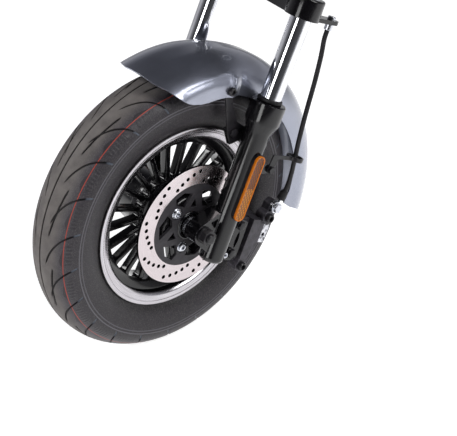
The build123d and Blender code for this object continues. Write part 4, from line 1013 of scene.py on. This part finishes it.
def make_world():
    """White to the camera; to the object a dim studio, darker overhead and behind the camera."""
    world = bpy.data.worlds.new("studio")
    bpy.context.scene.world = world
    world.use_nodes = True
    tree = world.node_tree
    tree.nodes.clear()
    node = node_maker(tree)
    out, mix = node("OutputWorld"), node("MixShader")
    path, coords = node("LightPath"), node("TexCoord")
    seen, lit = node("Background"), node("Background")
    seen.inputs["Color"].default_value = (1, 1, 1, 1)
    split, ramp = node("SeparateXYZ"), node("ValToRGB")
    ramp.color_ramp.elements[0].position = 0.0
    ramp.color_ramp.elements[0].color = (0.5, 0.5, 0.53, 1)
    ramp.color_ramp.elements[1].position = 0.45
    ramp.color_ramp.elements[1].color = (0.03, 0.03, 0.036, 1)
    facing = node("VectorMath", operation="DOT_PRODUCT")
    facing.inputs[1].default_value = look(138, 15)
    shade = node("MapRange", interpolation_type="SMOOTHSTEP")
    for socket, value in zip(list(shade.inputs)[1:5], (-0.2, 0.8, 1.0, 0.15)):
        socket.default_value = value
    links = (
        (coords.outputs["Generated"], split.inputs[0]),
        (coords.outputs["Generated"], facing.inputs[0]),
        (split.outputs["Z"], ramp.inputs[0]),
        (facing.outputs["Value"], shade.inputs[0]),
        (ramp.outputs[0], lit.inputs["Color"]),
        (shade.outputs[0], lit.inputs["Strength"]),
        (path.outputs["Is Camera Ray"], mix.inputs[0]),
        (lit.outputs[0], mix.inputs[1]),
        (seen.outputs[0], mix.inputs[2]),
        (mix.outputs[0], out.inputs[0]),
    )
    for start, end in links:
        tree.links.new(start, end)


make_camera()
make_world()
area_light("key", 203, 36, (1.1, 1.7), 34)
area_light("side", 105, 15, (0.8, 1.5), 20)
area_light("front", 38, 40, (1.0, 0.6), 20)


def make_floor():
    """Pale floor that glows to the camera and, fading outwards, to what mirrors it."""
    mesh = bpy.data.meshes.new("floor")
    mesh.from_pydata([(-6, -6, 0), (6, -6, 0), (6, 6, 0), (-6, 6, 0)], [], [(0, 1, 2, 3)])
    floor = bpy.data.objects.new("floor", mesh)
    floor.location.z = cad_box[0][2] - 0.0005
    bpy.context.scene.collection.objects.link(floor)
    material = bpy.data.materials.new("floor")
    material.use_nodes = True
    tree = material.node_tree
    node = node_maker(tree)
    shader = tree.nodes["Principled BSDF"]
    shader.inputs["Base Color"].default_value = (0.86, 0.86, 0.87, 1)
    shader.inputs["Roughness"].default_value = 0.9
    glow, add = node("Emission"), node("AddShader")
    glow.inputs["Color"].default_value = (1, 1, 1, 1)
    path, coords = node("LightPath"), node("TexCoord")
    reach, fade = node("VectorMath", operation="LENGTH"), node("MapRange")
    ranges = FLOOR_NEAR, FLOOR_FAR, FLOOR_GLOW, FLOOR_FAR_GLOW
    for socket, value in zip(list(fade.inputs)[1:5], ranges):
        socket.default_value = value
    seen, mirrored = node("Math", operation="MULTIPLY"), node("Math", operation="MULTIPLY")
    seen.inputs[1].default_value = FLOOR_GLOW
    total = node("Math", operation="ADD")
    links = (
        (coords.outputs["Object"], reach.inputs[0]),
        (reach.outputs["Value"], fade.inputs[0]),
        (path.outputs["Is Camera Ray"], seen.inputs[0]),
        (path.outputs["Is Glossy Ray"], mirrored.inputs[0]),
        (fade.outputs[0], mirrored.inputs[1]),
        (seen.outputs[0], total.inputs[0]),
        (mirrored.outputs[0], total.inputs[1]),
        (total.outputs[0], glow.inputs["Strength"]),
        (shader.outputs[0], add.inputs[0]),
        (glow.outputs[0], add.inputs[1]),
        (add.outputs[0], tree.nodes["Material Output"].inputs[0]),
    )
    for start, end in links:
        tree.links.new(start, end)
    mesh.materials.append(material)


make_floor()

bpy.context.scene.view_settings.view_transform = "Standard"
